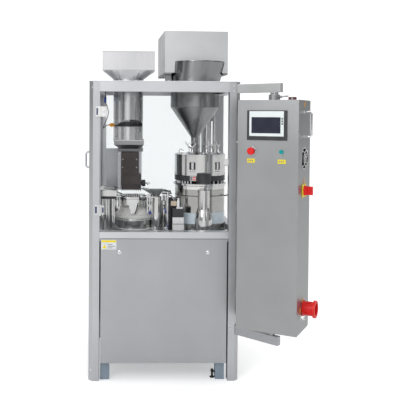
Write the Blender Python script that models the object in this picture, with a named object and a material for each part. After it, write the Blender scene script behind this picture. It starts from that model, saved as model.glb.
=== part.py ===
"""Automatic capsule filling machine with a swing-out control cabinet, in metres, +Z up."""
import bmesh
import bpy
from math import atan2, cos, pi, radians, sin
from mathutils import Matrix, Vector

# ---- driving dimensions ----
GAP = 0.0004                 # clearance between touching pieces
FRAME_W = 0.840              # over the corner posts, left to right
FRAME_D = 0.800              # over the corner posts, front to back
POST = 0.060
CHAMFER = 0.022
FRAME_TOP = 1.672
BEAM = 0.0545
TABLE_Z = 0.800
RIM_H = 0.036
PANEL_BOTTOM = 0.100
SKIRT_TOP = 0.797
MACHINE_AT = (-0.1829, 0.1658, 0.0)   # the machine's centre line, from the part's origin

TURRET = (-0.167, -0.050)
DOSING = (0.228, -0.050)
DOSING_R = 0.152
FEED_TUBE = (-0.208, -0.070)
FEED_TUBE_R = 0.088
POWDER = (0.198, -0.018)
POWDER_R = 0.148
FLARE = (0.218, -0.018)       # centre and radius of the powder hopper's flared mouth
FLARE_R = 0.160
POWDER_RIM = 1.809
HOPPER_POST = (0.287, 0.165) # the column that carries the stirrer motor and the hood
HOPPER_POST_R = 0.032
GUIDE = (0.239, -0.200)      # front guide column of the tamping head

ARM_REACH = 0.2369           # from the post's chamfer to the vertical axis that the cabinet swings on
CABINET_W = 0.327
CABINET_D = 0.221
CABINET_BOTTOM = 0.353
CABINET_TOP = 1.570
CABINET_TURN = radians(-28.5)

HX = FRAME_W / 2
HY = FRAME_D / 2
ARM_ROOT = (HX - CHAMFER / 2, CHAMFER / 2 - HY)
SWIVEL = (ARM_ROOT[0] + ARM_REACH * cos(pi / 4), ARM_ROOT[1] - ARM_REACH * cos(pi / 4))
SEGMENTS = 32


# ---- materials ----
def material(name, colour, roughness, metallic, alpha=1.0):
    made = bpy.data.materials.new(name)
    made.use_nodes = True
    shader = made.node_tree.nodes["Principled BSDF"]
    shader.inputs["Base Color"].default_value = (*colour, 1.0)
    shader.inputs["Roughness"].default_value = roughness
    shader.inputs["Metallic"].default_value = metallic
    shader.inputs["Alpha"].default_value = alpha
    return made


# ---- shape helpers ----
def machine_frame():
    frame = bpy.data.objects.new("machine", None)
    frame.location = MACHINE_AT
    bpy.context.collection.objects.link(frame)
    return frame


def joint_frame(name, parent, location, turn=0.0):
    frame = bpy.data.objects.new(name, None)
    frame.location = location
    frame.rotation_euler = (0.0, 0.0, turn)
    frame.parent = parent
    bpy.context.collection.objects.link(frame)
    return frame


def finish(name, shape, finish_material, parent, location=(0, 0, 0), rotation=(0, 0, 0), bevel=0.0,
           facets=False):
    """Turns a bmesh into a named object; facets splits the warped faces of a round-to-square shape."""
    bmesh.ops.remove_doubles(shape, verts=shape.verts, dist=1e-6)
    bmesh.ops.recalc_face_normals(shape, faces=shape.faces)
    if facets:
        bmesh.ops.triangulate(shape, faces=shape.faces)
    mesh = bpy.data.meshes.new(name)
    shape.to_mesh(mesh)
    shape.free()
    mesh.materials.append(finish_material)
    mesh.shade_smooth()
    mesh.set_sharp_from_angle(angle=radians(35))
    made = bpy.data.objects.new(name, mesh)
    made.location = location
    made.rotation_euler = rotation
    made.parent = parent
    bpy.context.collection.objects.link(made)
    if bevel:
        edge = made.modifiers.new("edges", "BEVEL")
        edge.width = bevel
        edge.segments = 1
        edge.limit_method = "ANGLE"
        edge.angle_limit = radians(50)
    return made


def box(low, high):
    shape = bmesh.new()
    bmesh.ops.create_cube(shape, size=1.0)
    size = [b - a for a, b in zip(low, high)]
    middle = [(a + b) / 2 for a, b in zip(low, high)]
    bmesh.ops.scale(shape, vec=size, verts=shape.verts)
    bmesh.ops.translate(shape, vec=middle, verts=shape.verts)
    return shape


def loft(rings, hollow=False):
    """Skins a list of point rings; a hollow one joins its last ring to its first."""
    shape = bmesh.new()
    loops = [[shape.verts.new(point) for point in ring] for ring in rings]
    pairs = list(zip(loops, loops[1:]))
    if hollow:
        pairs.append((loops[-1], loops[0]))
    else:
        shape.faces.new(loops[0])
        shape.faces.new(loops[-1])
    for lower, upper in pairs:
        for i in range(len(lower)):
            j = (i + 1) % len(lower)
            shape.faces.new((lower[i], lower[j], upper[j], upper[i]))
    return shape


def circle(radius, z, centre=(0, 0), count=SEGMENTS):
    steps = [2 * pi * (i + 0.5) / count for i in range(count)]
    return [Vector((centre[0] + radius * cos(a), centre[1] + radius * sin(a), z)) for a in steps]


def rectangle(width, depth, z, centre=(0, 0), count=SEGMENTS):
    """A rectangle's outline, with as many points as the circle that it is lofted to."""
    points = []
    for point in circle(1.0, z, (0, 0), count):
        reach = max(abs(point.x) / (width / 2), abs(point.y) / (depth / 2))
        points.append(Vector((centre[0] + point.x / reach, centre[1] + point.y / reach, z)))
    quarter = count // 4
    corners = [(1, 1), (-1, 1), (-1, -1), (1, -1)]
    for k, (sx, sy) in enumerate(corners):
        angle = atan2(depth / 2 * sy, width / 2 * sx) % (2 * pi)
        nearest = int(angle / (2 * pi / count)) % count
        if sx * points[nearest].x < sx * centre[0]:
            nearest = k * quarter + quarter // 2
        points[nearest] = Vector((centre[0] + sx * width / 2, centre[1] + sy * depth / 2, z))
    return points


def turned(profile, centre=(0, 0), count=SEGMENTS, hollow=False):
    return loft([circle(radius, z, centre, count) for radius, z in profile], hollow)


def prism(outline, low, high):
    return loft([[Vector((x, y, z)) for x, y in outline] for z in (low, high)])


def moved(shape, matrix):
    bmesh.ops.transform(shape, matrix=matrix, verts=shape.verts)
    return shape


def along_x(shape):
    return moved(shape, Matrix.Rotation(pi / 2, 4, "Y"))


def along_minus_y(shape):
    """Turns a shape built up the Z axis so that it grows towards -Y."""
    return moved(shape, Matrix.Rotation(pi / 2, 4, "X"))


def combine(operation, base, *tools):
    """Booleans the tool shapes with the base shape and returns one bmesh."""
    holder = bpy.data.objects.new("holder", bpy.data.meshes.new("holder"))
    bmesh.ops.recalc_face_normals(base, faces=base.faces)
    base.to_mesh(holder.data)
    base.free()
    bpy.context.collection.objects.link(holder)
    spare = []
    for tool in tools:
        cutter = bpy.data.objects.new("cutter", bpy.data.meshes.new("cutter"))
        bmesh.ops.recalc_face_normals(tool, faces=tool.faces)
        tool.to_mesh(cutter.data)
        tool.free()
        bpy.context.collection.objects.link(cutter)
        spare.append(cutter)
        step = holder.modifiers.new("step", "BOOLEAN")
        step.operation = operation
        step.object = cutter
    bpy.context.view_layer.update()
    evaluated = holder.evaluated_get(bpy.context.evaluated_depsgraph_get())
    result = bmesh.new()
    result.from_mesh(evaluated.to_mesh())
    for thing in (holder, *spare):
        bpy.data.objects.remove(thing)
    bmesh.ops.dissolve_limit(result, angle_limit=radians(0.5), verts=result.verts, edges=result.edges)
    return result


def union(base, *tools):
    return combine("UNION", base, *tools)


def cut(base, *tools):
    return combine("DIFFERENCE", base, *tools)


def sweep(path, radius, count=10):
    """A round bar along a path of points."""
    points = [Vector(p) for p in path]
    rings = []
    side = None
    for i, point in enumerate(points):
        before = (point - points[i - 1]).normalized() if i else None
        after = (points[i + 1] - point).normalized() if i + 1 < len(points) else None
        heading = ((before or after) + (after or before)).normalized()
        if side is None:
            side = heading.orthogonal().normalized()
        side = (side - heading * side.dot(heading)).normalized()
        other = heading.cross(side)
        straight = before or after
        stretch = 1.0 / max(0.5, heading.dot(straight))
        bend = ((after or before) - (before or after))
        bend = bend.normalized() if bend.length > 1e-4 else None
        ring = []
        for k in range(count):
            angle = 2 * pi * k / count
            offset = radius * (side * cos(angle) + other * sin(angle))
            if bend is not None:
                offset += bend * offset.dot(bend) * (stretch - 1.0)
            ring.append(point + offset)
        rings.append(ring)
    return loft(rings)


def cross_outline(half_x, half_y, notch_x, notch_y):
    """A rectangle whose corners are notched to pass between the posts."""
    corner = [(half_x, notch_y), (notch_x, notch_y), (notch_x, half_y)]
    points = list(corner)
    points += [(-x, y) for x, y in reversed(corner)]
    points += [(-x, -y) for x, y in corner]
    points += [(x, -y) for x, y in reversed(corner)]
    return points


# ---- the frame ----
def build_posts(root, steel):
    for side, sx in (("left", -1), ("right", 1)):
        for row, sy in (("front", -1), ("rear", 1)):
            inner_x, outer_x = sx * (HX - POST), sx * HX
            inner_y, outer_y = sy * (HY - POST), sy * HY
            outline = [(inner_x, inner_y), (outer_x, inner_y), (outer_x, outer_y - sy * CHAMFER),
                       (outer_x - sx * CHAMFER, outer_y), (inner_x, outer_y)]
            post = prism(outline, 0.0, FRAME_TOP)
            finish(f"post_{row}_{side}", post, steel, root)


def build_base_frame(root, painted):
    tubes = []
    for x in (-0.329, 0.319):
        for y in (-0.350, 0.350):
            tubes.append(box((x - 0.025, y - 0.025, 0.0), (x + 0.025, y + 0.025, 0.7796)))
    for low, high in ((0.120, 0.160), (0.735, 0.775)):
        for y in (-0.350, 0.350):
            tubes.append(box((-0.320, y - 0.020, low), (0.310, y + 0.020, high)))
        for x in (-0.329, 0.319):
            tubes.append(box((x - 0.020, -0.340, low), (x + 0.020, 0.340, high)))
    tubes.append(box((-0.331, -0.352, 0.156), (0.321, 0.352, 0.162)))
    finish("base_frame", union(*tubes), painted, root)


def build_top(root, steel):
    notch_x, notch_y = HX - POST - GAP, HY - POST - GAP
    ring = prism(cross_outline(HX, HY, notch_x, notch_y), FRAME_TOP - BEAM, FRAME_TOP)
    opening = box((-0.350, -0.330, 1.5), (0.350, 0.330, 1.8))
    finish("top_frame", cut(ring, opening), steel, root)
    low = FRAME_TOP + GAP
    corner = 0.020
    outline = []
    for sx, sy in ((1, 1), (-1, 1), (-1, -1), (1, -1)):
        pair = [(sx * HX, sy * (HY - corner)), (sx * (HX - corner), sy * HY)]
        outline += pair if sx * sy > 0 else pair[::-1]
    cover = prism(outline, low, low + 0.004)
    feed_hole = turned([(FEED_TUBE_R + 0.002, 1.6), (FEED_TUBE_R + 0.002, 1.7)], FEED_TUBE)
    powder_hole = turned([(POWDER_R + 0.002, 1.6), (POWDER_R + 0.002, 1.7)], POWDER)
    post_hole = turned([(HOPPER_POST_R + 0.002, 1.6), (HOPPER_POST_R + 0.002, 1.7)], HOPPER_POST)
    finish("top_cover", cut(cover, feed_hole, powder_hole, post_hole), steel, root)


def build_table(root, steel):
    notch_x, notch_y = HX - POST - GAP, HY - POST - GAP
    rim = prism(cross_outline(HX, HY, notch_x, notch_y), TABLE_Z, TABLE_Z + RIM_H)
    opening = prism(cross_outline(0.386, 0.332, 0.352, 0.300), 0.7, 0.9)
    finish("table_rim", cut(rim, opening), steel, root)
    plate = prism(cross_outline(0.400, 0.380, notch_x, notch_y), TABLE_Z - 0.020, TABLE_Z - GAP)
    finish("work_table", plate, steel, root)


# ---- covers of the lower half ----
def build_skirt(root, steel, chrome):
    end_y = HY - POST - 0.001
    for side, sx in (("left", -1), ("right", 1)):
        faces = sorted((sx * HX, sx * (HX - 0.015)))
        panel = box((faces[0], -end_y, PANEL_BOTTOM), (faces[1], end_y, SKIRT_TOP))
        finish(f"side_panel_{side}", panel, steel, root, bevel=0.002)
    rear = box((-0.356, HY - 0.014, PANEL_BOTTOM), (0.356, HY, SKIRT_TOP))
    finish("rear_panel", rear, steel, root, bevel=0.002)

    face_y = -HY + 0.0005
    lock_at = (0.247, 0.723)
    front = box((-0.352, face_y, PANEL_BOTTOM), (0.352, face_y + 0.0135, SKIRT_TOP))
    holes = [moved(turned([(0.0085, -0.03), (0.0085, 0.03)], count=16),
                   Matrix.Translation((sx * lock_at[0], face_y, lock_at[1])) @ Matrix.Rotation(pi / 2, 4, "X"))
             for sx in (-1, 1)]
    finish("front_panel", cut(front, *holes), steel, root)
    for side, sx in (("left", -1), ("right", 1)):
        body = turned([(0.008, -0.022), (0.008, GAP), (0.011, GAP), (0.011, 0.0025), (0.009, 0.0035)], count=16)
        tongue = box((-0.007, -0.012, -0.0215), (0.007, 0.034, -0.0180))
        finish(f"panel_lock_{side}", along_minus_y(union(body, tongue)), chrome, root,
               location=(sx * lock_at[0], face_y, lock_at[1]))


# ---- windows and the side door ----
def build_windows(root, steel, clear, tinted, plastic):
    low, high = TABLE_Z + RIM_H + 0.002, FRAME_TOP - BEAM - 0.002
    half = HY - POST - 0.0008
    hinge = joint_frame("door_axis", root, (-HX, HY - POST - 0.0004, 0.0))
    depth = 0.030
    rail = 0.040
    reach = 2 * half
    frame = box((0, -reach - 0.0004, low), (depth, -0.0004, high))
    light = box((-0.01, -reach + rail, low + rail), (depth + 0.01, -rail, high - rail))
    finish("left_door_frame", cut(frame, light), steel, hinge)
    pane = box((depth + GAP, -reach + 0.016, low + 0.016), (depth + GAP + 0.005, -0.016, high - 0.016))
    finish("left_door_glass", pane, clear, hinge)
    stile_y = -reach + rail / 2
    grip_low, grip_high, stand = 1.190, 1.277, 0.021
    grip = sweep([(-GAP, stile_y, grip_low), (-stand + 0.008, stile_y, grip_low),
                  (-stand, stile_y, grip_low + 0.008), (-stand, stile_y, grip_high - 0.008),
                  (-stand + 0.008, stile_y, grip_high), (-GAP, stile_y, grip_high)], 0.0055)
    finish("left_door_handle", grip, steel, hinge)

    finish("right_window", box((HX - 0.020, -half, low), (HX - 0.014, half, high)), clear, root)
    rear_hinge = joint_frame("rear_door_axis", root, (HX - POST - 0.0008, HY, 0.0))
    wide = 2 * (HX - POST) - 0.0016
    finish("rear_door", box((-wide, -0.006, low), (0, 0, high)), tinted, rear_hinge)
    switch = box((-0.383, -HY - 0.018, 1.477), (-0.326, -HY - GAP, 1.533))
    seam = box((-0.3535, -HY - 0.030, 1.4), (-0.3515, -HY - 0.012, 1.6))
    finish("interlock_switch", cut(switch, seam), plastic, root)


# ---- capsule side ----
def build_capsule_feed(root, steel, dark_steel, brown, black, orange):
    wall = 0.002
    hopper_at = (-0.205, FEED_TUBE[1])
    low, knee, top = 1.697, 1.750, 1.858
    width, depth = 0.306, 0.240
    shell = loft([circle(FEED_TUBE_R, low, FEED_TUBE), rectangle(width, depth, knee, hopper_at),
                  rectangle(width, depth, top, hopper_at),
                  rectangle(width - 2 * wall, depth - 2 * wall, top, hopper_at),
                  rectangle(width - 2 * wall, depth - 2 * wall, knee, hopper_at),
                  circle(FEED_TUBE_R - wall, low, FEED_TUBE)], hollow=True)
    finish("capsule_hopper", shell, steel, root, facets=True)

    seat = FRAME_TOP + 0.004 + 2 * GAP
    foot = 1.341
    inside = FEED_TUBE_R - wall
    tube = turned([(FEED_TUBE_R, foot), (FEED_TUBE_R, seat), (0.100, seat), (0.100, seat + 0.003),
                   (FEED_TUBE_R, seat + 0.003), (FEED_TUBE_R, low - GAP), (inside, low - GAP), (inside, foot)],
                  FEED_TUBE, hollow=True)
    window = [(-0.079, 1.420), (-0.050, 1.442), (-0.010, 1.457), (0.027, 1.463), (0.060, 1.456), (0.084, 1.438),
              (0.084, 1.420)]
    opening = loft([[Vector((FEED_TUBE[0] + x, y, z)) for x, z in window] for y in (-0.25, FEED_TUBE[1] - 0.005)])
    finish("capsule_tube", cut(tube, opening), steel, root)

    chute_at = (-0.2015, -0.078)
    outlet_at = (-0.193, -0.070)
    rings = [rectangle(0.130, 0.080, 1.287, outlet_at), rectangle(0.176, 0.164, 1.312, chute_at),
             rectangle(0.176, 0.164, foot - GAP, chute_at)]
    inner = [rectangle(0.172, 0.160, foot - GAP, chute_at), rectangle(0.172, 0.160, 1.313, chute_at),
             rectangle(0.126, 0.076, 1.287, outlet_at)]
    finish("capsule_chute", loft(rings + inner, hollow=True), dark_steel, root, facets=True)

    column = union(box((-0.325, 0.070, TABLE_Z), (-0.273, 0.125, 1.278)),
                   box((-0.300, 0.075, 1.040), (-0.126, 0.095, 1.277)),
                   box((-0.268, -0.100, 1.040), (-0.247, 0.080, 1.270)),
                   box((-0.146, -0.100, 1.040), (-0.126, 0.080, 1.270)))
    cap = box((-0.270, -0.0995, 1.269), (-0.118, 0.090, 1.286))
    throat = box((-0.250, -0.094, 1.2), (-0.142, -0.050, 1.3))
    finish("feeder_column", cut(union(column, cap), throat), dark_steel, root)

    slide = joint_frame("magazine_axis", root, (-0.195, -0.113, 1.150))
    plate = box((-0.0515, -0.012, -0.014), (0.0505, 0.0126, 0.116))
    block = box((-0.0515, -0.017, -0.073), (0.0655, 0.0126, -0.013))
    comb = box((-0.0495, -0.014, -0.108), (0.0640, 0.0120, -0.072))
    grooves = []
    for start in (-0.034, 0.008):
        for k in range(3):
            x = start + 0.0115 * k
            grooves.append(box((x - 0.0018, -0.030, 0.008), (x + 0.0018, -0.0095, 0.076)))
    for k in range(9):
        x = -0.042 + 0.0124 * k
        grooves.append(box((x - 0.0018, -0.030, -0.120), (x + 0.0018, -0.0090, -0.074)))
    finish("capsule_magazine", cut(union(plate, block, comb), *grooves), brown, slide)
    knob = turned([(0.010, 0.0003), (0.010, 0.004), (0.0175, 0.005), (0.0190, 0.008), (0.0190, 0.024),
                   (0.0170, 0.027), (0.003, 0.027), (0.003, 0.040)], count=20)
    crank = box((0.0, -0.003, 0.036), (0.010, 0.003, 0.043))
    finish("gate_knob", along_x(union(knob, crank)), black, slide, location=(0.0655, -0.002, -0.068))

    sensor = turned([(0.005, -0.030), (0.005, -0.020), (0.010, -0.018), (0.010, -GAP)], count=16)
    finish("level_sensor", along_x(sensor), orange, root,
           location=(FEED_TUBE[0] - FEED_TUBE_R, FEED_TUBE[1], 1.427))


def build_sensor_cable(root, black):
    """The sensor's lead, from its gland down, back up past the post and through the top."""
    route = [(-0.3268, -0.070, 1.427), (-0.338, -0.071, 1.424), (-0.350, -0.074, 1.414), (-0.356, -0.078, 1.408),
             (-0.355, -0.082, 1.416), (-0.344, -0.086, 1.445), (-0.331, -0.089, 1.475), (-0.327, -0.090, 1.505),
             (-0.334, -0.090, 1.540), (-0.345, -0.090, 1.566), (-0.3455, -0.090, 1.600), (-0.3440, -0.092, 1.630),
             (-0.3430, -0.094, 1.6715)]
    curve = bpy.data.curves.new("sensor_cable", "CURVE")
    curve.dimensions = "3D"
    curve.bevel_depth = 0.0022
    curve.bevel_resolution = 2
    curve.use_fill_caps = True
    points = [Vector(p) for p in route]
    smooth = []
    for i in range(len(points) - 1):
        before, after = points[max(i - 1, 0)], points[min(i + 2, len(points) - 1)]
        start, end = points[i], points[i + 1]
        for k in range(3):
            t = k / 3
            smooth.append(0.5 * ((2 * start) + (end - before) * t + (2 * before - 5 * start + 4 * end - after) * t * t
                                 + (3 * start - before - 3 * end + after) * t ** 3))
    smooth.append(points[-1])
    spline = curve.splines.new("POLY")
    spline.points.add(len(smooth) - 1)
    for target, point in zip(spline.points, smooth):
        target.co = (*point, 1.0)
    curve.materials.append(black)
    cable = bpy.data.objects.new("sensor_cable", curve)
    cable.parent = root
    bpy.context.collection.objects.link(cable)


def build_turret(root, steel, light_steel):
    base = turned([(0.112, TABLE_Z + GAP), (0.112, 0.872), (0.118, 0.874), (0.118, 0.892), (0.112, 0.895),
                   (0.074, 0.950)], TURRET, 32)
    finish("turret_base", base, light_steel, root)
    count = 12
    outline = []
    for k in range(count):
        middle = 2 * pi * k / count
        for offset, radius in ((-0.85, 0.082), (-0.55, 0.112), (0.55, 0.112), (0.85, 0.082)):
            angle = middle + offset * pi / count
            outline.append((radius * cos(angle), radius * sin(angle)))
    ring = prism(outline, 0.9504, 0.982)
    hub = turned([(0.060, 0.970), (0.060, 0.990), (0.045, 1.002)], count=24)
    finish("turret_disc", union(ring, hub), steel, root, location=(TURRET[0], TURRET[1], 0.0))

    rods = [turned([(0.006, TABLE_Z + GAP), (0.006, 1.016)], at, 12)
            for at in ((-0.352, -0.150), (-0.333, -0.090), (-0.295, -0.180))]
    outer = box((-0.366, -0.205, 1.012), (-0.272, -0.060, 1.046))
    hollow = box((-0.363, -0.202, 1.015), (-0.275, -0.063, 1.060))
    finish("reject_tray", union(cut(outer, hollow), *rods), steel, root)

    at = (-0.036, -0.110)
    chute = loft([circle(0.018, TABLE_Z + GAP, at), circle(0.018, 1.006, at), rectangle(0.086, 0.080, 1.044, at),
                  rectangle(0.082, 0.076, 1.044, at), circle(0.014, 1.006, at), circle(0.014, 0.990, at)])
    finish("discharge_chute", chute, steel, root, facets=True)

    ram = turned([(0.020, TABLE_Z + GAP), (0.020, 0.965), (0.008, 0.968), (0.008, 1.012)], (0.012, -0.020), 16)
    rod = turned([(0.014, TABLE_Z + GAP), (0.014, 0.815), (0.007, 0.817), (0.007, 1.020)], (0.026, -0.100), 12)
    yoke = box((0.002, -0.112, 1.008), (0.038, -0.008, 1.018))
    finish("closing_station", union(ram, rod, yoke), steel, root)


# ---- powder side ----
def build_dosing(root, steel, black):
    top = 1.050
    wall = 0.004
    inside = DOSING_R - 0.003 - wall
    skin = DOSING_R - 0.003
    casing = turned([(inside, top - wall), (inside, TABLE_Z + GAP), (skin, TABLE_Z + GAP), (skin, 1.011),
                     (skin - 0.002, 1.0115), (skin - 0.002, 1.0145), (skin, 1.015), (skin, top)], DOSING, 36)
    column = turned([(0.052, TABLE_Z + GAP), (0.052, 0.875), (0.047, 0.905), (0.038, 0.935), (0.036, 0.950),
                     (0.036, top)], GUIDE, 32)
    finish("dosing_base", union(casing, column), steel, root)

    lip = DOSING_R + 0.005
    bowl = turned([(skin, top + GAP), (skin + 0.002, 1.070), (lip, 1.073), (lip, 1.084), (lip - 0.005, 1.084),
                   (skin - 0.003, 1.062)], count=36)
    finish("dosing_disc", bowl, steel, root, location=(DOSING[0], DOSING[1], 0.0))

    guide = (GUIDE[0] - DOSING[0], GUIDE[1] - DOSING[1])
    plate = turned([(DOSING_R, 1.100), (DOSING_R, 1.132)], count=36)
    boss = turned([(0.042, 1.088), (0.042, 1.146), (0.038, 1.150)], guide, 32)
    pins = [turned([(0.006, 1.0865), (0.006, 1.104)], (0.128 * cos(a), 0.128 * sin(a)), 8)
            for a in [2 * pi * k / 12 for k in range(12)] if not -2.1 < a - 2 * pi < -1.0]
    finish("tamping_head", union(plate, boss, *pins), black, root, location=(DOSING[0], DOSING[1], 0.0))

    spout_at = (POWDER[0] - DOSING[0], POWDER[1] - DOSING[1])
    low, high = 1.1324, 1.255
    cover = turned([(DOSING_R - 0.004, low), (DOSING_R, low), (DOSING_R, high - 0.003), (DOSING_R - 0.003, high),
                    (0.030, high), (0.030, high - 0.003), (DOSING_R - 0.004, high - 0.003)], count=36, hollow=True)
    mouth = turned([(0.034, 1.2), (0.034, 1.3)], spout_at, 24)
    relief = turned([(0.0435, 1.1), (0.0435, 1.152)], guide, 32)
    finish("tamping_cover", cut(cover, mouth, relief), steel, root, location=(DOSING[0], DOSING[1], 0.0))


def build_powder_feed(root, steel, motor_paint, dark_steel):
    wall = 0.002
    seat = FRAME_TOP + 0.004 + 2 * GAP
    tip, neck, shoulder = 1.246, 1.354, 1.537
    outer = [(0.0215, tip), (0.0215, 1.286), (0.029, 1.287), (0.029, 1.305), (0.0215, 1.306), (0.0215, neck),
             (POWDER_R, shoulder), (POWDER_R, seat), (0.158, seat), (0.158, seat + 0.003), (POWDER_R, seat + 0.003)]
    inner = [(POWDER_R - wall, seat + 0.003), (POWDER_R - wall, shoulder), (0.0195, neck), (0.0195, tip)]
    rings = [circle(radius, z, POWDER, 28) for radius, z in outer]
    rings += [circle(FLARE_R, POWDER_RIM, FLARE, 28), circle(FLARE_R - wall, POWDER_RIM, FLARE, 28)]
    rings += [circle(radius, z, POWDER, 28) for radius, z in inner]
    finish("powder_hopper", loft(rings, hollow=True), steel, root)

    rings = []
    pitch = 0.080
    for k in range(27):
        z = 1.262 + 0.009 * k
        turn = 2 * pi * (z - 1.262) / pitch
        rings.append([Vector((0.015 * cos(b) * cos(turn) - 0.005 * sin(b) * sin(turn),
                              0.015 * cos(b) * sin(turn) + 0.005 * sin(b) * cos(turn), z))
                      for b in [2 * pi * i / 6 for i in range(6)]])
    screw = loft(rings)
    shaft = turned([(0.0065, 1.480), (0.0065, 1.8316)], count=12)
    paddle = box((-0.115, -0.004, 1.560), (0.115, 0.004, 1.580))
    finish("powder_auger", union(screw, shaft, paddle), steel, root, location=(POWDER[0], POWDER[1], 0.0))

    post = turned([(0.050, TABLE_Z + GAP), (0.050, 0.812), (HOPPER_POST_R, 0.814), (HOPPER_POST_R, 1.836)],
                  HOPPER_POST, 24)
    bracket = box((0.120, -0.064, 1.8325), (0.325, 0.200, 1.8405))
    bore = turned([(0.012, 1.8), (0.012, 1.9)], POWDER, 16)
    finish("hopper_column", cut(union(post, bracket), bore), steel, root)
    motor = union(turned([(0.050, 1.841), (0.050, 1.871), (0.042, 1.873), (0.042, 1.960)], POWDER, 24),
                  box((POWDER[0] + 0.035, POWDER[1] - 0.022, 1.885), (POWDER[0] + 0.062, POWDER[1] + 0.022, 1.930)))
    finish("auger_motor", motor, motor_paint, root)

    build_hood(root, dark_steel)


def build_hood(root, dark_steel):
    """A lid without a floor, fitted round the hopper's flared mouth, which stands out at its front."""
    half_w, half_d, low, high = 0.191, 0.234, 1.743, 1.993
    hood_at, hood_turn = (0.187, 0.152), radians(3.2)
    wall, play = 0.002, 0.003
    hood = box((-half_w, -half_d, low), (half_w, half_d, high))
    hollow = box((-half_w + wall, -half_d + wall, low - 0.05), (half_w - wall, half_d - wall, high - wall))
    mouth = loft([circle(POWDER_R + play, FRAME_TOP, POWDER, 28),
                  circle(FLARE_R + play, POWDER_RIM + play, FLARE, 28)])
    place = Matrix.Translation((*hood_at, 0.0)) @ Matrix.Rotation(hood_turn, 4, "Z")
    finish("hopper_hood", cut(hood, hollow, moved(mouth, place.inverted())), dark_steel, root,
           location=(*hood_at, 0.0), rotation=(0, 0, hood_turn))


def build_drive(root, motor_paint, dark_steel):
    shelf = 0.1624
    body = box((-0.150, -0.070, shelf), (0.000, 0.070, shelf + 0.160))
    motor = moved(turned([(0.065, 0.0), (0.065, 0.200), (0.055, 0.215)], count=24),
                  Matrix.Translation((-0.002, 0.0, shelf + 0.085)) @ Matrix.Rotation(pi / 2, 4, "Y"))
    shaft = turned([(0.020, shelf + 0.150), (0.020, 0.700), (0.045, 0.702), (0.045, 0.7794)],
                   (-0.100, 0.0), 20)
    finish("drive_motor", union(body, motor, shaft), motor_paint, root)
    pump = union(box((-0.200, 0.160, shelf), (0.020, 0.300, shelf + 0.120)),
                 moved(turned([(0.062, 0.0), (0.062, 0.170)], count=20),
                       Matrix.Translation((-0.010, 0.230, shelf + 0.070)) @ Matrix.Rotation(pi / 2, 4, "Y")))
    finish("vacuum_pump", pump, dark_steel, root)


# ---- control cabinet on its two arms ----
def build_arms(root, steel):
    line = joint_frame("arm_line", root, (*ARM_ROOT, 0.0), -pi / 4)
    upper = box((GAP, -0.015, CABINET_TOP + 0.0424), (ARM_REACH + 0.045, 0.015, CABINET_TOP + 0.092))
    lower = box((GAP, -0.015, CABINET_BOTTOM - 0.091), (ARM_REACH + 0.045, 0.015, CABINET_BOTTOM - 0.0414))
    finish("upper_arm", upper, steel, line, bevel=0.002)
    finish("lower_arm", lower, steel, line, bevel=0.002)


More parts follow.
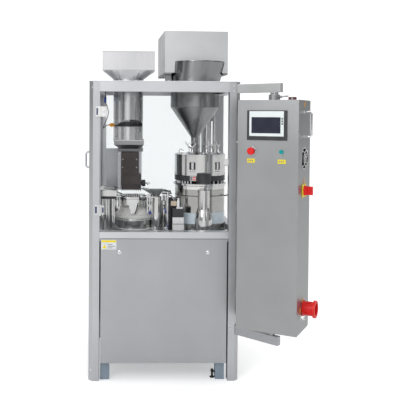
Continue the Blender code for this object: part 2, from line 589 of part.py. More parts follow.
def build_cabinet(root, steel, plastic, red, green, yellow, black, chrome):
    axis = joint_frame("cabinet_axis", root, (*SWIVEL, 0.0), CABINET_TURN)
    half_w, half_d, wall = CABINET_W / 2, CABINET_D / 2, 0.002
    front, right = -half_d, half_w
    screen_at = (-0.0035, 1.4375)
    stop_at = (-0.0855, 1.302)
    start_at = (0.0765, 1.301)
    fan_at = (-0.0044, 1.266)
    isolator_at = (0.0, 1.0975)
    inlet_at = (0.022, 0.473)

    body = box((-half_w, -half_d, CABINET_BOTTOM), (half_w, half_d, CABINET_TOP))
    pivots = [turned([(0.030, CABINET_TOP - 0.001), (0.030, CABINET_TOP + 0.030), (0.016, CABINET_TOP + 0.031),
                      (0.016, CABINET_TOP + 0.042)], count=24),
              turned([(0.016, CABINET_BOTTOM - 0.041), (0.016, CABINET_BOTTOM - 0.029),
                      (0.030, CABINET_BOTTOM - 0.028), (0.030, CABINET_BOTTOM + 0.001)], count=24)]
    cutters = [box((-half_w + wall, -half_d + wall, CABINET_BOTTOM + wall),
                   (half_w - wall, half_d + 0.01, CABINET_TOP - wall)),
               box((screen_at[0] - 0.101, front - 0.01, screen_at[1] - 0.0715),
                   (screen_at[0] + 0.101, front + 0.01, screen_at[1] + 0.0715))]
    for x, z in (stop_at, start_at):
        cutters.append(moved(turned([(0.0108, -0.01), (0.0108, 0.01)], count=16),
                             Matrix.Translation((x, front, z)) @ Matrix.Rotation(pi / 2, 4, "X")))
    for (y, z), radius in ((fan_at, 0.052), (isolator_at, 0.008), (inlet_at, 0.022)):
        cutters.append(moved(turned([(radius, -0.01), (radius, 0.01)], count=24),
                             Matrix.Translation((right, y, z)) @ Matrix.Rotation(pi / 2, 4, "Y")))
    finish("cabinet_shell", cut(union(body, *pivots), *cutters), steel, axis)

    back_axis = joint_frame("cabinet_back_axis", axis, (-half_w, half_d + GAP, 0.0))
    lid = box((0.0, 0.0, CABINET_BOTTOM), (CABINET_W, 0.012, CABINET_TOP))
    finish("cabinet_back", lid, steel, back_axis, bevel=0.002)

    plate = box((-0.125, 0.020, 0.420), (0.125, 0.022, 1.355))
    parts = [box((-0.120, 0.0215, 1.180), (0.060, 0.080, 1.280)), box((-0.120, 0.0215, 0.980), (-0.020, 0.090, 1.120)),
             box((0.010, 0.0215, 1.000), (0.110, 0.070, 1.080)), box((-0.115, 0.0215, 0.780), (0.115, 0.060, 0.860)),
             box((-0.115, 0.0215, 0.560), (0.115, 0.050, 0.610))]
    stands = [moved(turned([(0.006, 0.0), (0.006, 0.128 - wall + 0.0005)], count=10),
                    Matrix.Translation((x, 0.021, z)) @ Matrix.Rotation(pi / 2, 4, "X"))
              for x in (-0.118, 0.118) for z in (0.440, 1.345)]
    finish("mounting_plate", union(plate, *parts, *stands), chrome, axis)

    bezel = box((-0.107, front - 0.007, -0.0775), (0.107, front - GAP, 0.0775))
    case = box((-0.0995, front - 0.001, -0.070), (0.0995, front + 0.040, 0.070))
    finish("hmi_panel", union(bezel, case), plastic, axis, location=(screen_at[0], 0.0, screen_at[1]))

    stop = turned([(0.0100, -0.025), (0.0100, 0.010), (0.0195, 0.011), (0.0200, 0.015), (0.0190, 0.022),
                   (0.0140, 0.026)], count=24)
    finish("estop_button", along_minus_y(stop), red, axis, location=(stop_at[0], front, stop_at[1]))
    start = turned([(0.0100, -0.025), (0.0100, 0.007), (0.0085, 0.0085)], count=20)
    finish("start_button", along_minus_y(start), green, axis, location=(start_at[0], front, start_at[1]))

    y, low, high, stand = -0.009, 1.380, 1.508, 0.040
    grip = sweep([(right + GAP, y, low), (right + stand - 0.009, y, low), (right + stand, y, low + 0.009),
                  (right + stand, y, high - 0.009), (right + stand - 0.009, y, high), (right + GAP, y, high)],
                 0.0055)
    finish("side_handle", grip, chrome, axis)

    label = box((right + GAP, isolator_at[0] - 0.034, isolator_at[1] - 0.034),
                (right + 0.004, isolator_at[0] + 0.034, isolator_at[1] + 0.034))
    bore = moved(turned([(0.008, -0.05), (0.008, 0.05)], count=20),
                 Matrix.Translation((right, *isolator_at)) @ Matrix.Rotation(pi / 2, 4, "Y"))
    finish("isolator_plate", cut(label, bore), yellow, axis)
    knob = turned([(0.0070, -0.030), (0.0070, 0.0045), (0.0250, 0.0045), (0.0250, 0.018), (0.0230, 0.020)], count=28)
    wing = box((-0.022, -0.007, 0.019), (0.022, 0.007, 0.048))
    finish("isolator_knob", along_x(union(knob, wing)), red, axis, location=(right, *isolator_at))

    hub = turned([(0.017, -0.030), (0.017, -0.006)], count=20)
    blades = []
    for k in range(7):
        blade = box((0.014, -0.001, -0.010), (0.048, 0.001, 0.010))
        tilt = Matrix.Rotation(radians(38), 4, "X")
        place = Matrix.Rotation(2 * pi * k / 7, 4, "Z") @ Matrix.Translation((0, 0, -0.018))
        blades.append(moved(blade, place @ tilt))
    finish("fan_rotor", along_x(union(hub, *blades)), black, axis, location=(right, *fan_at))
    rings = [turned([(r - 0.0016, z), (r + 0.0016, z), (r + 0.0016, z + 0.0032), (r - 0.0016, z + 0.0032)],
                    count=20, hollow=True)
             for r, z in ((0.0560, GAP), (0.0400, 0.010), (0.0240, 0.010))]
    spokes = []
    for k in range(4):
        place = Matrix.Rotation(pi / 4 + pi * k / 2, 4, "Z")
        bar = sweep([(0.0560, 0, 0.0021), (0.0500, 0, 0.0100), (0.0, 0, 0.0118)], 0.0015, 6)
        spokes.append(moved(bar, place))
    finish("fan_guard", along_x(union(rings[0], *spokes, *rings[1:])), chrome, axis, location=(right, *fan_at))

    socket = turned([(0.0215, -0.020), (0.0215, GAP), (0.0350, GAP), (0.0350, 0.054), (0.0460, 0.056),
                     (0.0460, 0.068), (0.0320, 0.068), (0.0320, 0.020)], count=28)
    finish("power_inlet", along_x(socket), red, axis, location=(right, *inlet_at))

    lever_axis = joint_frame("lever_axis", axis, (0.0304, 0.0, CABINET_TOP + 0.018))
    screw = moved(turned([(0.0075, 0.0), (0.0075, 0.010)], count=12), Matrix.Rotation(pi / 2, 4, "Y"))
    rod = sweep([(0.006, 0, 0), (0.038, -0.003, 0.004)], 0.0042, 10)
    ball = turned([(0.003, -0.0068), (0.006, -0.004), (0.0072, 0.0), (0.006, 0.004), (0.003, 0.0068)], count=12)
    ball = moved(ball, Matrix.Translation((0.040, -0.003, 0.0042)))
    finish("clamp_lever", union(screw, rod, ball), chrome, lever_axis)


def build():
    for old in list(bpy.data.objects):
        bpy.data.objects.remove(old)
    satin = material("satin_steel", (0.66, 0.67, 0.68), 0.38, 1.0)
    bright = material("bright_steel", (0.78, 0.78, 0.78), 0.16, 1.0)
    dull = material("dull_steel", (0.36, 0.37, 0.38), 0.42, 1.0)
    chrome = material("chrome", (0.82, 0.82, 0.83), 0.10, 1.0)
    painted = material("blue_grey_paint", (0.30, 0.36, 0.42), 0.50, 0.0)
    motor_paint = material("motor_paint", (0.12, 0.20, 0.30), 0.50, 0.0)
    clear = material("clear_pane", (0.90, 0.95, 0.97), 0.05, 0.0, 0.25)
    tinted = material("tinted_pane", (0.82, 0.93, 0.98), 0.05, 0.0, 0.45)
    white = material("white_plastic", (0.85, 0.85, 0.84), 0.45, 0.0)
    black = material("black_plastic", (0.03, 0.03, 0.03), 0.45, 0.0)
    brown = material("brown_magazine", (0.075, 0.055, 0.052), 0.45, 0.0)
    orange = material("orange_plastic", (0.90, 0.42, 0.03), 0.45, 0.0)
    red = material("red_plastic", (0.65, 0.03, 0.02), 0.40, 0.0)
    green = material("green_plastic", (0.03, 0.38, 0.30), 0.40, 0.0)
    yellow = material("yellow_plastic", (0.85, 0.70, 0.05), 0.45, 0.0)
    pale = material("pale_bezel", (0.72, 0.75, 0.76), 0.45, 0.0)

    root = machine_frame()
    build_posts(root, satin)
    build_base_frame(root, painted)
    build_top(root, satin)
    build_table(root, satin)
    build_skirt(root, satin, chrome)
    build_windows(root, satin, clear, tinted, white)
    build_capsule_feed(root, bright, dull, brown, black, orange)
    build_sensor_cable(root, black)
    build_turret(root, bright, dull)
    build_dosing(root, bright, black)
    build_powder_feed(root, bright, motor_paint, dull)
    build_drive(root, motor_paint, dull)
    build_arms(root, satin)
    build_cabinet(root, satin, pale, red, green, yellow, black, chrome)


build()
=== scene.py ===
import bpy, bmesh
from math import cos, sin, pi, radians
from mathutils import Matrix, Vector


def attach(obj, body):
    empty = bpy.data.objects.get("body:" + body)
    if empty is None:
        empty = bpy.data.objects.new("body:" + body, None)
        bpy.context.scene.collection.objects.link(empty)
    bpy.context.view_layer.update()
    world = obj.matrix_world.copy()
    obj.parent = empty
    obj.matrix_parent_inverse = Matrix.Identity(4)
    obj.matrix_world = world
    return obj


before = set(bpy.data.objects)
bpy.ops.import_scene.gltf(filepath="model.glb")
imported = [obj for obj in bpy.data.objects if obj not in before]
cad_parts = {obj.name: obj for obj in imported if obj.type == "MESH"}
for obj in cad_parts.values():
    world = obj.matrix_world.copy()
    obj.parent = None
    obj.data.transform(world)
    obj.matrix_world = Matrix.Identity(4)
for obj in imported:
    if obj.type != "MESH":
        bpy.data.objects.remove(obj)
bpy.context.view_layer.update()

machineCentre = Vector((-0.1829, 0.1658, 0.0))  # the frame's centre line on the floor


def machineSpace(x, y, z):
    return Vector((x, y, z)) + machineCentre


# ---------- camera and studio ----------

def makeCamera():
    view = {"place": (-0.155, -4.169, 1.479), "turn": -1.34, "tip": 1.4, "roll": 0.38, "lens": 61.2,
            "shift": (0.118, -0.167)}
    data = bpy.data.cameras.new("productCamera")
    data.lens = view["lens"]
    data.sensor_width = 36.0
    data.shift_x, data.shift_y = view["shift"]
    data.clip_end = 60.0
    camera = bpy.data.objects.new("productCamera", data)
    bpy.context.collection.objects.link(camera)
    aim = Matrix.Rotation(radians(view["turn"]), 4, "Z") @ Matrix.Rotation(radians(90 - view["tip"]), 4, "X")
    camera.matrix_world = Matrix.Translation(machineSpace(*view["place"])) @ aim @ Matrix.Rotation(
        radians(view["roll"]), 4, "Z")
    bpy.context.scene.camera = camera


def areaLight(name, place, target, size, power, colour=(1.0, 1.0, 1.0)):
    data = bpy.data.lights.new(name, "AREA")
    data.shape = "RECTANGLE"
    data.size, data.size_y = size
    data.energy = power
    data.color = colour
    light = bpy.data.objects.new(name, data)
    light.location = place
    light.rotation_euler = (Vector(target) - Vector(place)).to_track_quat("-Z", "Y").to_euler()
    bpy.context.collection.objects.link(light)


def makeStudio():
    # a white backdrop for the camera, and a studio of strips of light for the steel to mirror
    strips = ((0.0, 0.5), (0.07, 0.42), (0.13, 0.75), (0.2, 0.15), (0.27, 0.22), (0.3, 0.85), (0.335, 0.24),
              (0.39, 0.26), (0.44, 0.36), (0.475, 0.95), (0.515, 0.95), (0.55, 0.24), (0.62, 0.18),
              (0.66, 0.8),
              (0.7, 0.15), (0.78, 0.16), (0.83, 0.5), (0.87, 0.18), (0.94, 0.42))
    studio = {"overhead": 0.85, "bandTop": 0.5, "bandBottom": 0.22, "strength": 1.0, "backdrop": 1.15,
              "floorLift": 0.42, "keyPower": 42, "topPower": 16}
    world = bpy.data.worlds.new("studio")
    bpy.context.scene.world = world
    world.use_nodes = True
    tree = world.node_tree

    def node(kind, **values):
        made = tree.nodes.new(kind)
        for key, value in values.items():
            setattr(made, key, value)
        return made

    direction = node("ShaderNodeSeparateXYZ")
    tree.links.new(node("ShaderNodeTexCoord").outputs["Generated"], direction.inputs[0])
    around = node("ShaderNodeMath", operation="ARCTAN2")
    flipped = node("ShaderNodeMath", operation="MULTIPLY")
    flipped.inputs[1].default_value = -1.0
    tree.links.new(direction.outputs["Y"], flipped.inputs[0])
    tree.links.new(direction.outputs["X"], around.inputs[0])
    tree.links.new(flipped.outputs[0], around.inputs[1])
    share = node("ShaderNodeMath", operation="MULTIPLY_ADD")
    share.inputs[1].default_value = 0.5 / pi
    share.inputs[2].default_value = 0.5
    tree.links.new(around.outputs[0], share.inputs[0])
    ramp = node("ShaderNodeValToRGB").color_ramp
    rampNode = tree.nodes[-1]
    for place, level in strips[1:]:
        ramp.elements.new(place)
    for element, (place, level) in zip(sorted(ramp.elements, key=lambda e: e.position), strips):
        element.position = place
        element.color = (level, level, level * 1.01, 1.0)
    tree.links.new(share.outputs[0], rampNode.inputs["Fac"])
    height = node("ShaderNodeMapRange")
    height.inputs["From Min"].default_value = studio["bandBottom"]
    height.inputs["From Max"].default_value = studio["bandTop"]
    tree.links.new(direction.outputs["Z"], height.inputs["Value"])
    blend = node("ShaderNodeMix", data_type="RGBA")
    tree.links.new(height.outputs["Result"], blend.inputs["Factor"])
    tree.links.new(rampNode.outputs["Color"], blend.inputs["A"])
    blend.inputs["B"].default_value = (studio["overhead"], studio["overhead"], studio["overhead"], 1.0)
    mirrored = tree.nodes["Background"]
    tree.links.new(blend.outputs["Result"], mirrored.inputs["Color"])
    mirrored.inputs["Strength"].default_value = studio["strength"]
    seen = node("ShaderNodeBackground")
    seen.inputs["Color"].default_value = (1.0, 1.0, 1.0, 1.0)
    seen.inputs["Strength"].default_value = studio["backdrop"]
    choose = node("ShaderNodeMixShader")
    tree.links.new(node("ShaderNodeLightPath").outputs["Is Camera Ray"], choose.inputs["Fac"])
    tree.links.new(mirrored.outputs[0], choose.inputs[1])
    tree.links.new(seen.outputs[0], choose.inputs[2])
    tree.links.new(choose.outputs[0], tree.nodes["World Output"].inputs["Surface"])
    areaLight("keyLight", (-2.2, -3.8, 3.0), (0.0, 0.0, 1.0), (1.6, 1.6), studio["keyPower"])
    areaLight("topLight", (0.0, 0.2, 4.2), (0.0, 0.2, 0.0), (2.4, 2.4), studio["topPower"])
    bpy.context.scene.view_settings.view_transform = "Standard"
    bpy.ops.mesh.primitive_plane_add(size=60.0, location=(0.0, 0.0, -0.0005))
    floor = bpy.context.object
    floor.name = "paleFloor"
    shade = bpy.data.materials.new("paleFloorPaint")
    shade.use_nodes = True
    shader = shade.node_tree.nodes["Principled BSDF"]
    shader.inputs["Base Color"].default_value = (0.93, 0.93, 0.93, 1.0)
    shader.inputs["Roughness"].default_value = 0.85
    # the camera sees the floor a little brighter than the steel does
    tree = shade.node_tree
    glow = tree.nodes.new("ShaderNodeMath")
    glow.operation = "MULTIPLY"
    glow.inputs[1].default_value = studio["floorLift"]
    tree.links.new(tree.nodes.new("ShaderNodeLightPath").outputs["Is Camera Ray"], glow.inputs[0])
    tree.links.new(glow.outputs[0], shader.inputs["Emission Strength"])
    shader.inputs["Emission Color"].default_value = (1.0, 1.0, 1.0, 1.0)
    floor.data.materials.append(shade)


makeCamera()
makeStudio()
print("camera and studio ready")


# ---------- finishes ----------

class Recipe:
    # a Principled material with short calls for the nodes that give it grain and wear
    def __init__(self, name, colour, roughness, metallic=0.0, **extra):
        self.material = bpy.data.materials.new(name)
        self.material.use_nodes = True
        self.tree = self.material.node_tree
        self.shader = self.tree.nodes["Principled BSDF"]
        self.setting("Base Color", (*colour, 1.0))
        self.setting("Roughness", roughness)
        self.setting("Metallic", metallic)
        for key, value in extra.items():
            self.setting(key.replace("_", " "), value)
        self.coords = self.node("ShaderNodeTexCoord").outputs["Object"]

    def setting(self, socket, value):
        self.shader.inputs[socket].default_value = value

    def node(self, kind, **values):
        made = self.tree.nodes.new(kind)
        for key, value in values.items():
            setattr(made, key, value)
        return made

    def link(self, start, end):
        self.tree.links.new(start, end)

    def noise(self, scale, detail=3.0, stretch=(1.0, 1.0, 1.0), roughness=0.55):
        place = self.node("ShaderNodeMapping")
        place.inputs["Scale"].default_value = stretch
        self.link(self.coords, place.inputs["Vector"])
        cloud = self.node("ShaderNodeTexNoise")
        cloud.inputs["Scale"].default_value = scale
        cloud.inputs["Detail"].default_value = detail
        cloud.inputs["Roughness"].default_value = roughness
        self.link(place.outputs["Vector"], cloud.inputs["Vector"])
        return cloud.outputs["Fac"]

    def spread(self, value, low, high, fromLow=0.3, fromHigh=0.7):
        span = self.node("ShaderNodeMapRange")
        for socket, number in (("From Min", fromLow), ("From Max", fromHigh), ("To Min", low),
                               ("To Max", high)):
            span.inputs[socket].default_value = number
        self.link(value, span.inputs["Value"])
        return span.outputs["Result"]

    def tint(self, value, dark, light):
        ramp = self.node("ShaderNodeValToRGB")
        ramp.color_ramp.elements[0].position = 0.32
        ramp.color_ramp.elements[1].position = 0.68
        ramp.color_ramp.elements[0].color = (*dark, 1.0)
        ramp.color_ramp.elements[1].color = (*light, 1.0)
        self.link(value, ramp.inputs["Fac"])
        self.link(ramp.outputs["Color"], self.shader.inputs["Base Color"])

    def bump(self, value, strength, distance=0.0005):
        relief = self.node("ShaderNodeBump")
        relief.inputs["Strength"].default_value = strength
        relief.inputs["Distance"].default_value = distance
        self.link(value, relief.inputs["Height"])
        earlier = self.shader.inputs["Normal"].links
        if earlier:
            self.link(earlier[0].from_socket, relief.inputs["Normal"])
        self.link(relief.outputs["Normal"], self.shader.inputs["Normal"])


def shaded(colour, factor):
    return tuple(min(1.0, channel * factor) for channel in colour)


def brushedSteel(name, colour, roughness, stretch, grain=900.0, depth=0.12, patches=0.05):
    steel = Recipe(name, colour, roughness, 1.0)
    lines = steel.noise(grain, 2.0, stretch)
    clouds = steel.noise(3.0, 4.0)
    steel.tint(clouds, shaded(colour, 1.0 - patches), shaded(colour, 1.0 + patches))
    mixed = steel.node("ShaderNodeMath", operation="MULTIPLY_ADD")
    steel.link(lines, mixed.inputs[0])
    mixed.inputs[1].default_value = 0.5
    steel.link(clouds, mixed.inputs[2])
    steel.link(steel.spread(mixed.outputs[0], roughness - 0.05, roughness + 0.06, 0.4, 1.1),
               steel.shader.inputs["Roughness"])
    steel.bump(lines, depth, 0.0002)
    return steel.material


def polishedSteel(name, colour, roughness, stretch=(1.0, 1.0, 1.0)):
    steel = Recipe(name, colour, roughness, 1.0)
    smears = steel.noise(14.0, 5.0, stretch, 0.6)
    fine = steel.noise(260.0, 2.0, stretch)
    steel.tint(smears, shaded(colour, 0.93), shaded(colour, 1.04))
    steel.link(steel.spread(smears, max(0.02, roughness - 0.04), roughness + 0.07),
               steel.shader.inputs["Roughness"])
    steel.bump(fine, 0.04, 0.0002)
    return steel.material


def mouldedPlastic(name, colour, roughness, grain=1400.0, depth=0.12, wear=0.1):
    plastic = Recipe(name, colour, roughness)
    pores = plastic.noise(grain, 2.0)
    dust = plastic.noise(22.0, 4.0)
    plastic.tint(dust, shaded(colour, 1.0 - wear), shaded(colour, 1.0 + wear))
    plastic.link(plastic.spread(dust, roughness - 0.05, roughness + 0.08), plastic.shader.inputs["Roughness"])
    plastic.bump(pores, depth, 0.0002)
    return plastic.material


def sprayPaint(name, colour, roughness):
    paint = Recipe(name, colour, roughness, 0.0, Coat_Weight=0.25, Coat_Roughness=0.25)
    peel = paint.noise(320.0, 2.0)
    grime = paint.noise(6.0, 5.0)
    paint.tint(grime, shaded(colour, 0.88), shaded(colour, 1.08))
    paint.link(paint.spread(grime, roughness - 0.06, roughness + 0.1), paint.shader.inputs["Roughness"])
    paint.bump(peel, 0.1, 0.0004)
    return paint.material


def clearPane(name, colour, alpha, roughness=0.04):
    pane = Recipe(name, colour, roughness, 0.0, Alpha=alpha, IOR=1.49)
    haze = pane.noise(9.0, 3.0)
    pane.link(pane.spread(haze, roughness, roughness + 0.05), pane.shader.inputs["Roughness"])
    return pane.material


upright = (1.0, 1.0, 0.012)      # grain that runs up a piece
levelX = (0.012, 1.0, 1.0)       # grain along X
finishes = {
    "postSteel": brushedSteel("postSteel", (0.6, 0.61, 0.63), 0.36, upright),
    "beamSteel": brushedSteel("beamSteel", (0.7, 0.71, 0.73), 0.38, levelX),
    "skirtSteel": brushedSteel("skirtSteel", (0.5, 0.51, 0.53), 0.4, upright),
    "tableSteel": brushedSteel("tableSteel", (0.5, 0.51, 0.52), 0.3, levelX),
    "cabinetSteel": brushedSteel("cabinetSteel", (0.42, 0.43, 0.435), 0.4, upright),
    "armSteel": brushedSteel("armSteel", (0.8, 0.81, 0.81), 0.38, upright),
    "hoodSteel": brushedSteel("hoodSteel", (0.8, 0.81, 0.82), 0.36, upright),
    "hopperSteel": polishedSteel("hopperSteel", (0.74, 0.74, 0.75), 0.2, (1.0, 1.0, 0.2)),
    "tubeSteel": polishedSteel("tubeSteel", (0.7, 0.71, 0.72), 0.17, (1.0, 1.0, 0.08)),
    "mirrorSteel": polishedSteel("mirrorSteel", (0.8, 0.8, 0.79), 0.1, (1.0, 1.0, 0.1)),
    "castSteel": mouldedPlastic("castAlloy", (0.86, 0.86, 0.84), 0.3, wear=0.06),
    "casingSteel": polishedSteel("casingSteel", (0.56, 0.555, 0.54), 0.14, (1.0, 1.0, 0.1)),
    "darkSteel": brushedSteel("darkSteel", (0.22, 0.225, 0.23), 0.42, upright),
    "dullSteel": brushedSteel("dullSteel", (0.34, 0.35, 0.36), 0.4, upright),
    "chrome": polishedSteel("chromePlate", (0.86, 0.86, 0.87), 0.08),
    "frameBlue": sprayPaint("frameBluePaint", (0.27, 0.34, 0.41), 0.48),
    "motorBlue": sprayPaint("motorBluePaint", (0.07, 0.15, 0.26), 0.45),
    "clear": clearPane("clearPane", (0.93, 0.97, 0.99), 0.1),
    "tinted": clearPane("tintedPane", (0.48, 0.86, 1.0), 0.14),
    "white": mouldedPlastic("whitePlastic", (0.84, 0.84, 0.83), 0.42),
    "black": mouldedPlastic("blackPlastic", (0.02, 0.02, 0.022), 0.42, wear=0.25),
    "charcoal": mouldedPlastic("charcoalAnodised", (0.045, 0.046, 0.05), 0.38, wear=0.15),
    "brown": mouldedPlastic("brownAnodised", (0.052, 0.038, 0.038), 0.42, wear=0.2),
    "orange": mouldedPlastic("orangePlastic", (0.92, 0.38, 0.01), 0.38),
    "red": mouldedPlastic("redPlastic", (0.88, 0.01, 0.01), 0.4, depth=0.06),
    "green": mouldedPlastic("greenPlastic", (0.005, 0.36, 0.36), 0.3, depth=0.06),
    "yellow": mouldedPlastic("yellowPlastic", (1.0, 0.8, 0.02), 0.45, wear=0.04),
    "pale": mouldedPlastic("paleBezel", (0.9, 0.97, 0.98), 0.4, wear=0.03),
    "blue": mouldedPlastic("bluePlastic", (0.02, 0.07, 0.42), 0.4),
    "beige": mouldedPlastic("beigePlastic", (0.62, 0.52, 0.4), 0.5),
    "screen": mouldedPlastic("screenGlass", (0.03, 0.032, 0.055), 0.12, depth=0.0, wear=0.05),
    "greyPlastic": mouldedPlastic("greyPlastic", (0.24, 0.26, 0.27), 0.45),
    "darkRed": mouldedPlastic("darkRedPlastic", (0.1, 0.004, 0.006), 0.3, depth=0.05),
    "cardWhite": mouldedPlastic("cardWhite", (0.8, 0.82, 0.82), 0.4),
    "navy": mouldedPlastic("navyPlastic", (0.035, 0.055, 0.13), 0.4),
    "paleBlue": mouldedPlastic("paleBluePlastic", (0.5, 0.66, 0.8), 0.3),
    "spunSteel": polishedSteel("spunSteel", (0.34, 0.345, 0.35), 0.22, (1.0, 1.0, 0.15)),
    "silverPaint": mouldedPlastic("silverPaint", (0.95, 0.96, 0.96), 0.35),
    "boxWhite": mouldedPlastic("boxWhite", (0.96, 0.97, 0.98), 0.38, wear=0.03),
    "frosted": mouldedPlastic("frostedBand", (0.74, 0.85, 0.92), 0.3),
    "rubber": mouldedPlastic("cableRubber", (0.022, 0.022, 0.024), 0.55),
}

nodeFinishes = {
    "postSteel": "post_front_left post_front_right post_rear_left post_rear_right "
                 "left_door_frame left_door_handle",
    "beamSteel": "top_frame top_cover table_rim",
    "tableSteel": "work_table",
    "cabinetSteel": "cabinet_shell cabinet_back",
    "armSteel": "upper_arm",
    "skirtSteel": "lower_arm side_panel_left side_panel_right rear_panel front_panel",
    "hoodSteel": "hopper_hood",
    "hopperSteel": "capsule_hopper",
    "spunSteel": "powder_hopper",
    "tubeSteel": "capsule_tube hopper_column",
    "casingSteel": "dosing_base",
    "mirrorSteel": "dosing_disc tamping_cover reject_tray closing_station powder_auger turret_disc",
    "castSteel": "turret_base",
    "darkSteel": "feeder_column",
    "dullSteel": "capsule_chute vacuum_pump discharge_chute",
    "chrome": "panel_lock_left panel_lock_right mounting_plate fan_guard side_handle clamp_lever",
    "frameBlue": "base_frame",
    "motorBlue": "auger_motor drive_motor",
    "clear": "left_door_glass right_window",
    "tinted": "rear_door",
    "white": "interlock_switch",
    "black": "gate_knob fan_rotor",
    "charcoal": "tamping_head hmi_panel",
    "brown": "capsule_magazine",
    "orange": "level_sensor",
    "red": "estop_button isolator_knob power_inlet",
    "green": "start_button",
    "yellow": "isolator_plate",
    "rubber": "sensor_cable",
}
for finish, nodes in nodeFinishes.items():
    for node in nodes.split():
        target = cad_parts[node]
        if not target.material_slots:
            target.data.materials.append(finishes[finish])
        for slot in target.material_slots:
            slot.material = finishes[finish]
print("finishes assigned")

# ---------- shapes for the trim ----------

def slab(low, high):
    shape = bmesh.new()
    bmesh.ops.create_cube(shape, size=1.0)
    bmesh.ops.scale(shape, vec=[b - a for a, b in zip(low, high)], verts=shape.verts)
    bmesh.ops.translate(shape, vec=[(a + b) / 2 for a, b in zip(low, high)], verts=shape.verts)
    return shape


def skin(rings, closed=True):
    shape = bmesh.new()
    loops = [[shape.verts.new(point) for point in ring] for ring in rings]
    for lower, upper in zip(loops, loops[1:]):
        for i in range(len(lower)):
            j = (i + 1) % len(lower)
            shape.faces.new((lower[i], lower[j], upper[j], upper[i]))
    if closed:
        shape.faces.new(loops[0])
        shape.faces.new(loops[-1])
    else:
        for i in range(len(loops[0])):
            j = (i + 1) % len(loops[0])
            shape.faces.new((loops[-1][i], loops[-1][j], loops[0][j], loops[0][i]))
    return shape


def turnedPart(profile, count=24, ring=False):
    # profile points are (radius, height); a ring joins its last point to its first
    rings = [[Vector((r * cos(2 * pi * k / count), r * sin(2 * pi * k / count), h)) for k in range(count)]
             for r, h in profile]
    return skin(rings, closed=not ring)


def bar(path, radius, count=10):
    points = [Vector(p) for p in path]
    rings = []
    side = None
    for i, point in enumerate(points):
        before = (point - points[i - 1]).normalized() if i else None
        after = (points[i + 1] - point).normalized() if i + 1 < len(points) else None
        heading = ((before or after) + (after or before)).normalized()
        side = side or heading.orthogonal()
        side = (side - heading * side.dot(heading)).normalized()
        other = heading.cross(side)
        rings.append([point + radius * (side * cos(2 * pi * k / count) + other * sin(2 * pi * k / count))
                      for k in range(count)])
    return skin(rings)


def band(radius, low, high, start, end, thick, steps=24):
    # an arc of thick plate round the Z axis; angles in degrees, with 0 towards the operator
    rings = []
    for k in range(steps + 1):
        angle = radians(start + (end - start) * k / steps)
        out = Vector((sin(angle), -cos(angle), 0.0))
        rings.append([out * r + Vector((0, 0, z)) for r, z in
                      ((radius, low), (radius + thick, low), (radius + thick, high), (radius, high))])
    return skin(rings)


def placed(shape, at=(0, 0, 0), turn=0.0, axis="Z", also=None):
    matrix = Matrix.Translation(at) @ Matrix.Rotation(radians(turn), 4, axis)
    if also is not None:
        matrix = also @ matrix
    bmesh.ops.transform(shape, matrix=matrix, verts=shape.verts)
    return shape


def together(*shapes):
    base = shapes[0]
    for shape in shapes[1:]:
        spare = bpy.data.meshes.new("spare")
        shape.to_mesh(spare)
        shape.free()
        base.from_mesh(spare)
        bpy.data.meshes.remove(spare)
    return base


inMachine = Matrix.Translation(machineCentre)
swivel = {"root": (0.409, -0.389), "reach": 0.2369, "turn": -28.5}
swivelAt = (swivel["root"][0] + swivel["reach"] * cos(pi / 4),
            swivel["root"][1] - swivel["reach"] * cos(pi / 4), 0.0)
inCabinet = inMachine @ Matrix.Translation(swivelAt) @ Matrix.Rotation(radians(swivel["turn"]), 4, "Z")
cabinetFace = -0.1105
cabinetSide = 0.1635


edges = {"smooth": 32, "rowSmooth": 35, "bevelFrom": 40}    # degrees


def addPiece(name, shape, finish, body, space=inMachine, bevel=0.0):
    bmesh.ops.remove_doubles(shape, verts=shape.verts, dist=1e-6)
    bmesh.ops.recalc_face_normals(shape, faces=shape.faces)
    bmesh.ops.transform(shape, matrix=space, verts=shape.verts)
    mesh = bpy.data.meshes.new(name)
    shape.to_mesh(mesh)
    shape.free()
    mesh.shade_smooth()
    mesh.set_sharp_from_angle(angle=radians(edges["smooth"]))
    mesh.materials.append(finishes[finish])
    piece = bpy.data.objects.new(name, mesh)
    bpy.context.collection.objects.link(piece)
    if bevel:
        edge = piece.modifiers.new("edge", "BEVEL")
        edge.width = bevel
        edge.segments = 2
        edge.limit_method = "ANGLE"
        edge.angle_limit = radians(edges["bevelFrom"])
    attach(piece, body)
    return piece


# ---------- what repeats: screws, pins, louvres ----------

crownShare = 0.7     # a head's flat top and its height, as shares of its radius
grooveShares = (("X", 2.4), ("Y", 0.32), ("Z", 0.7))


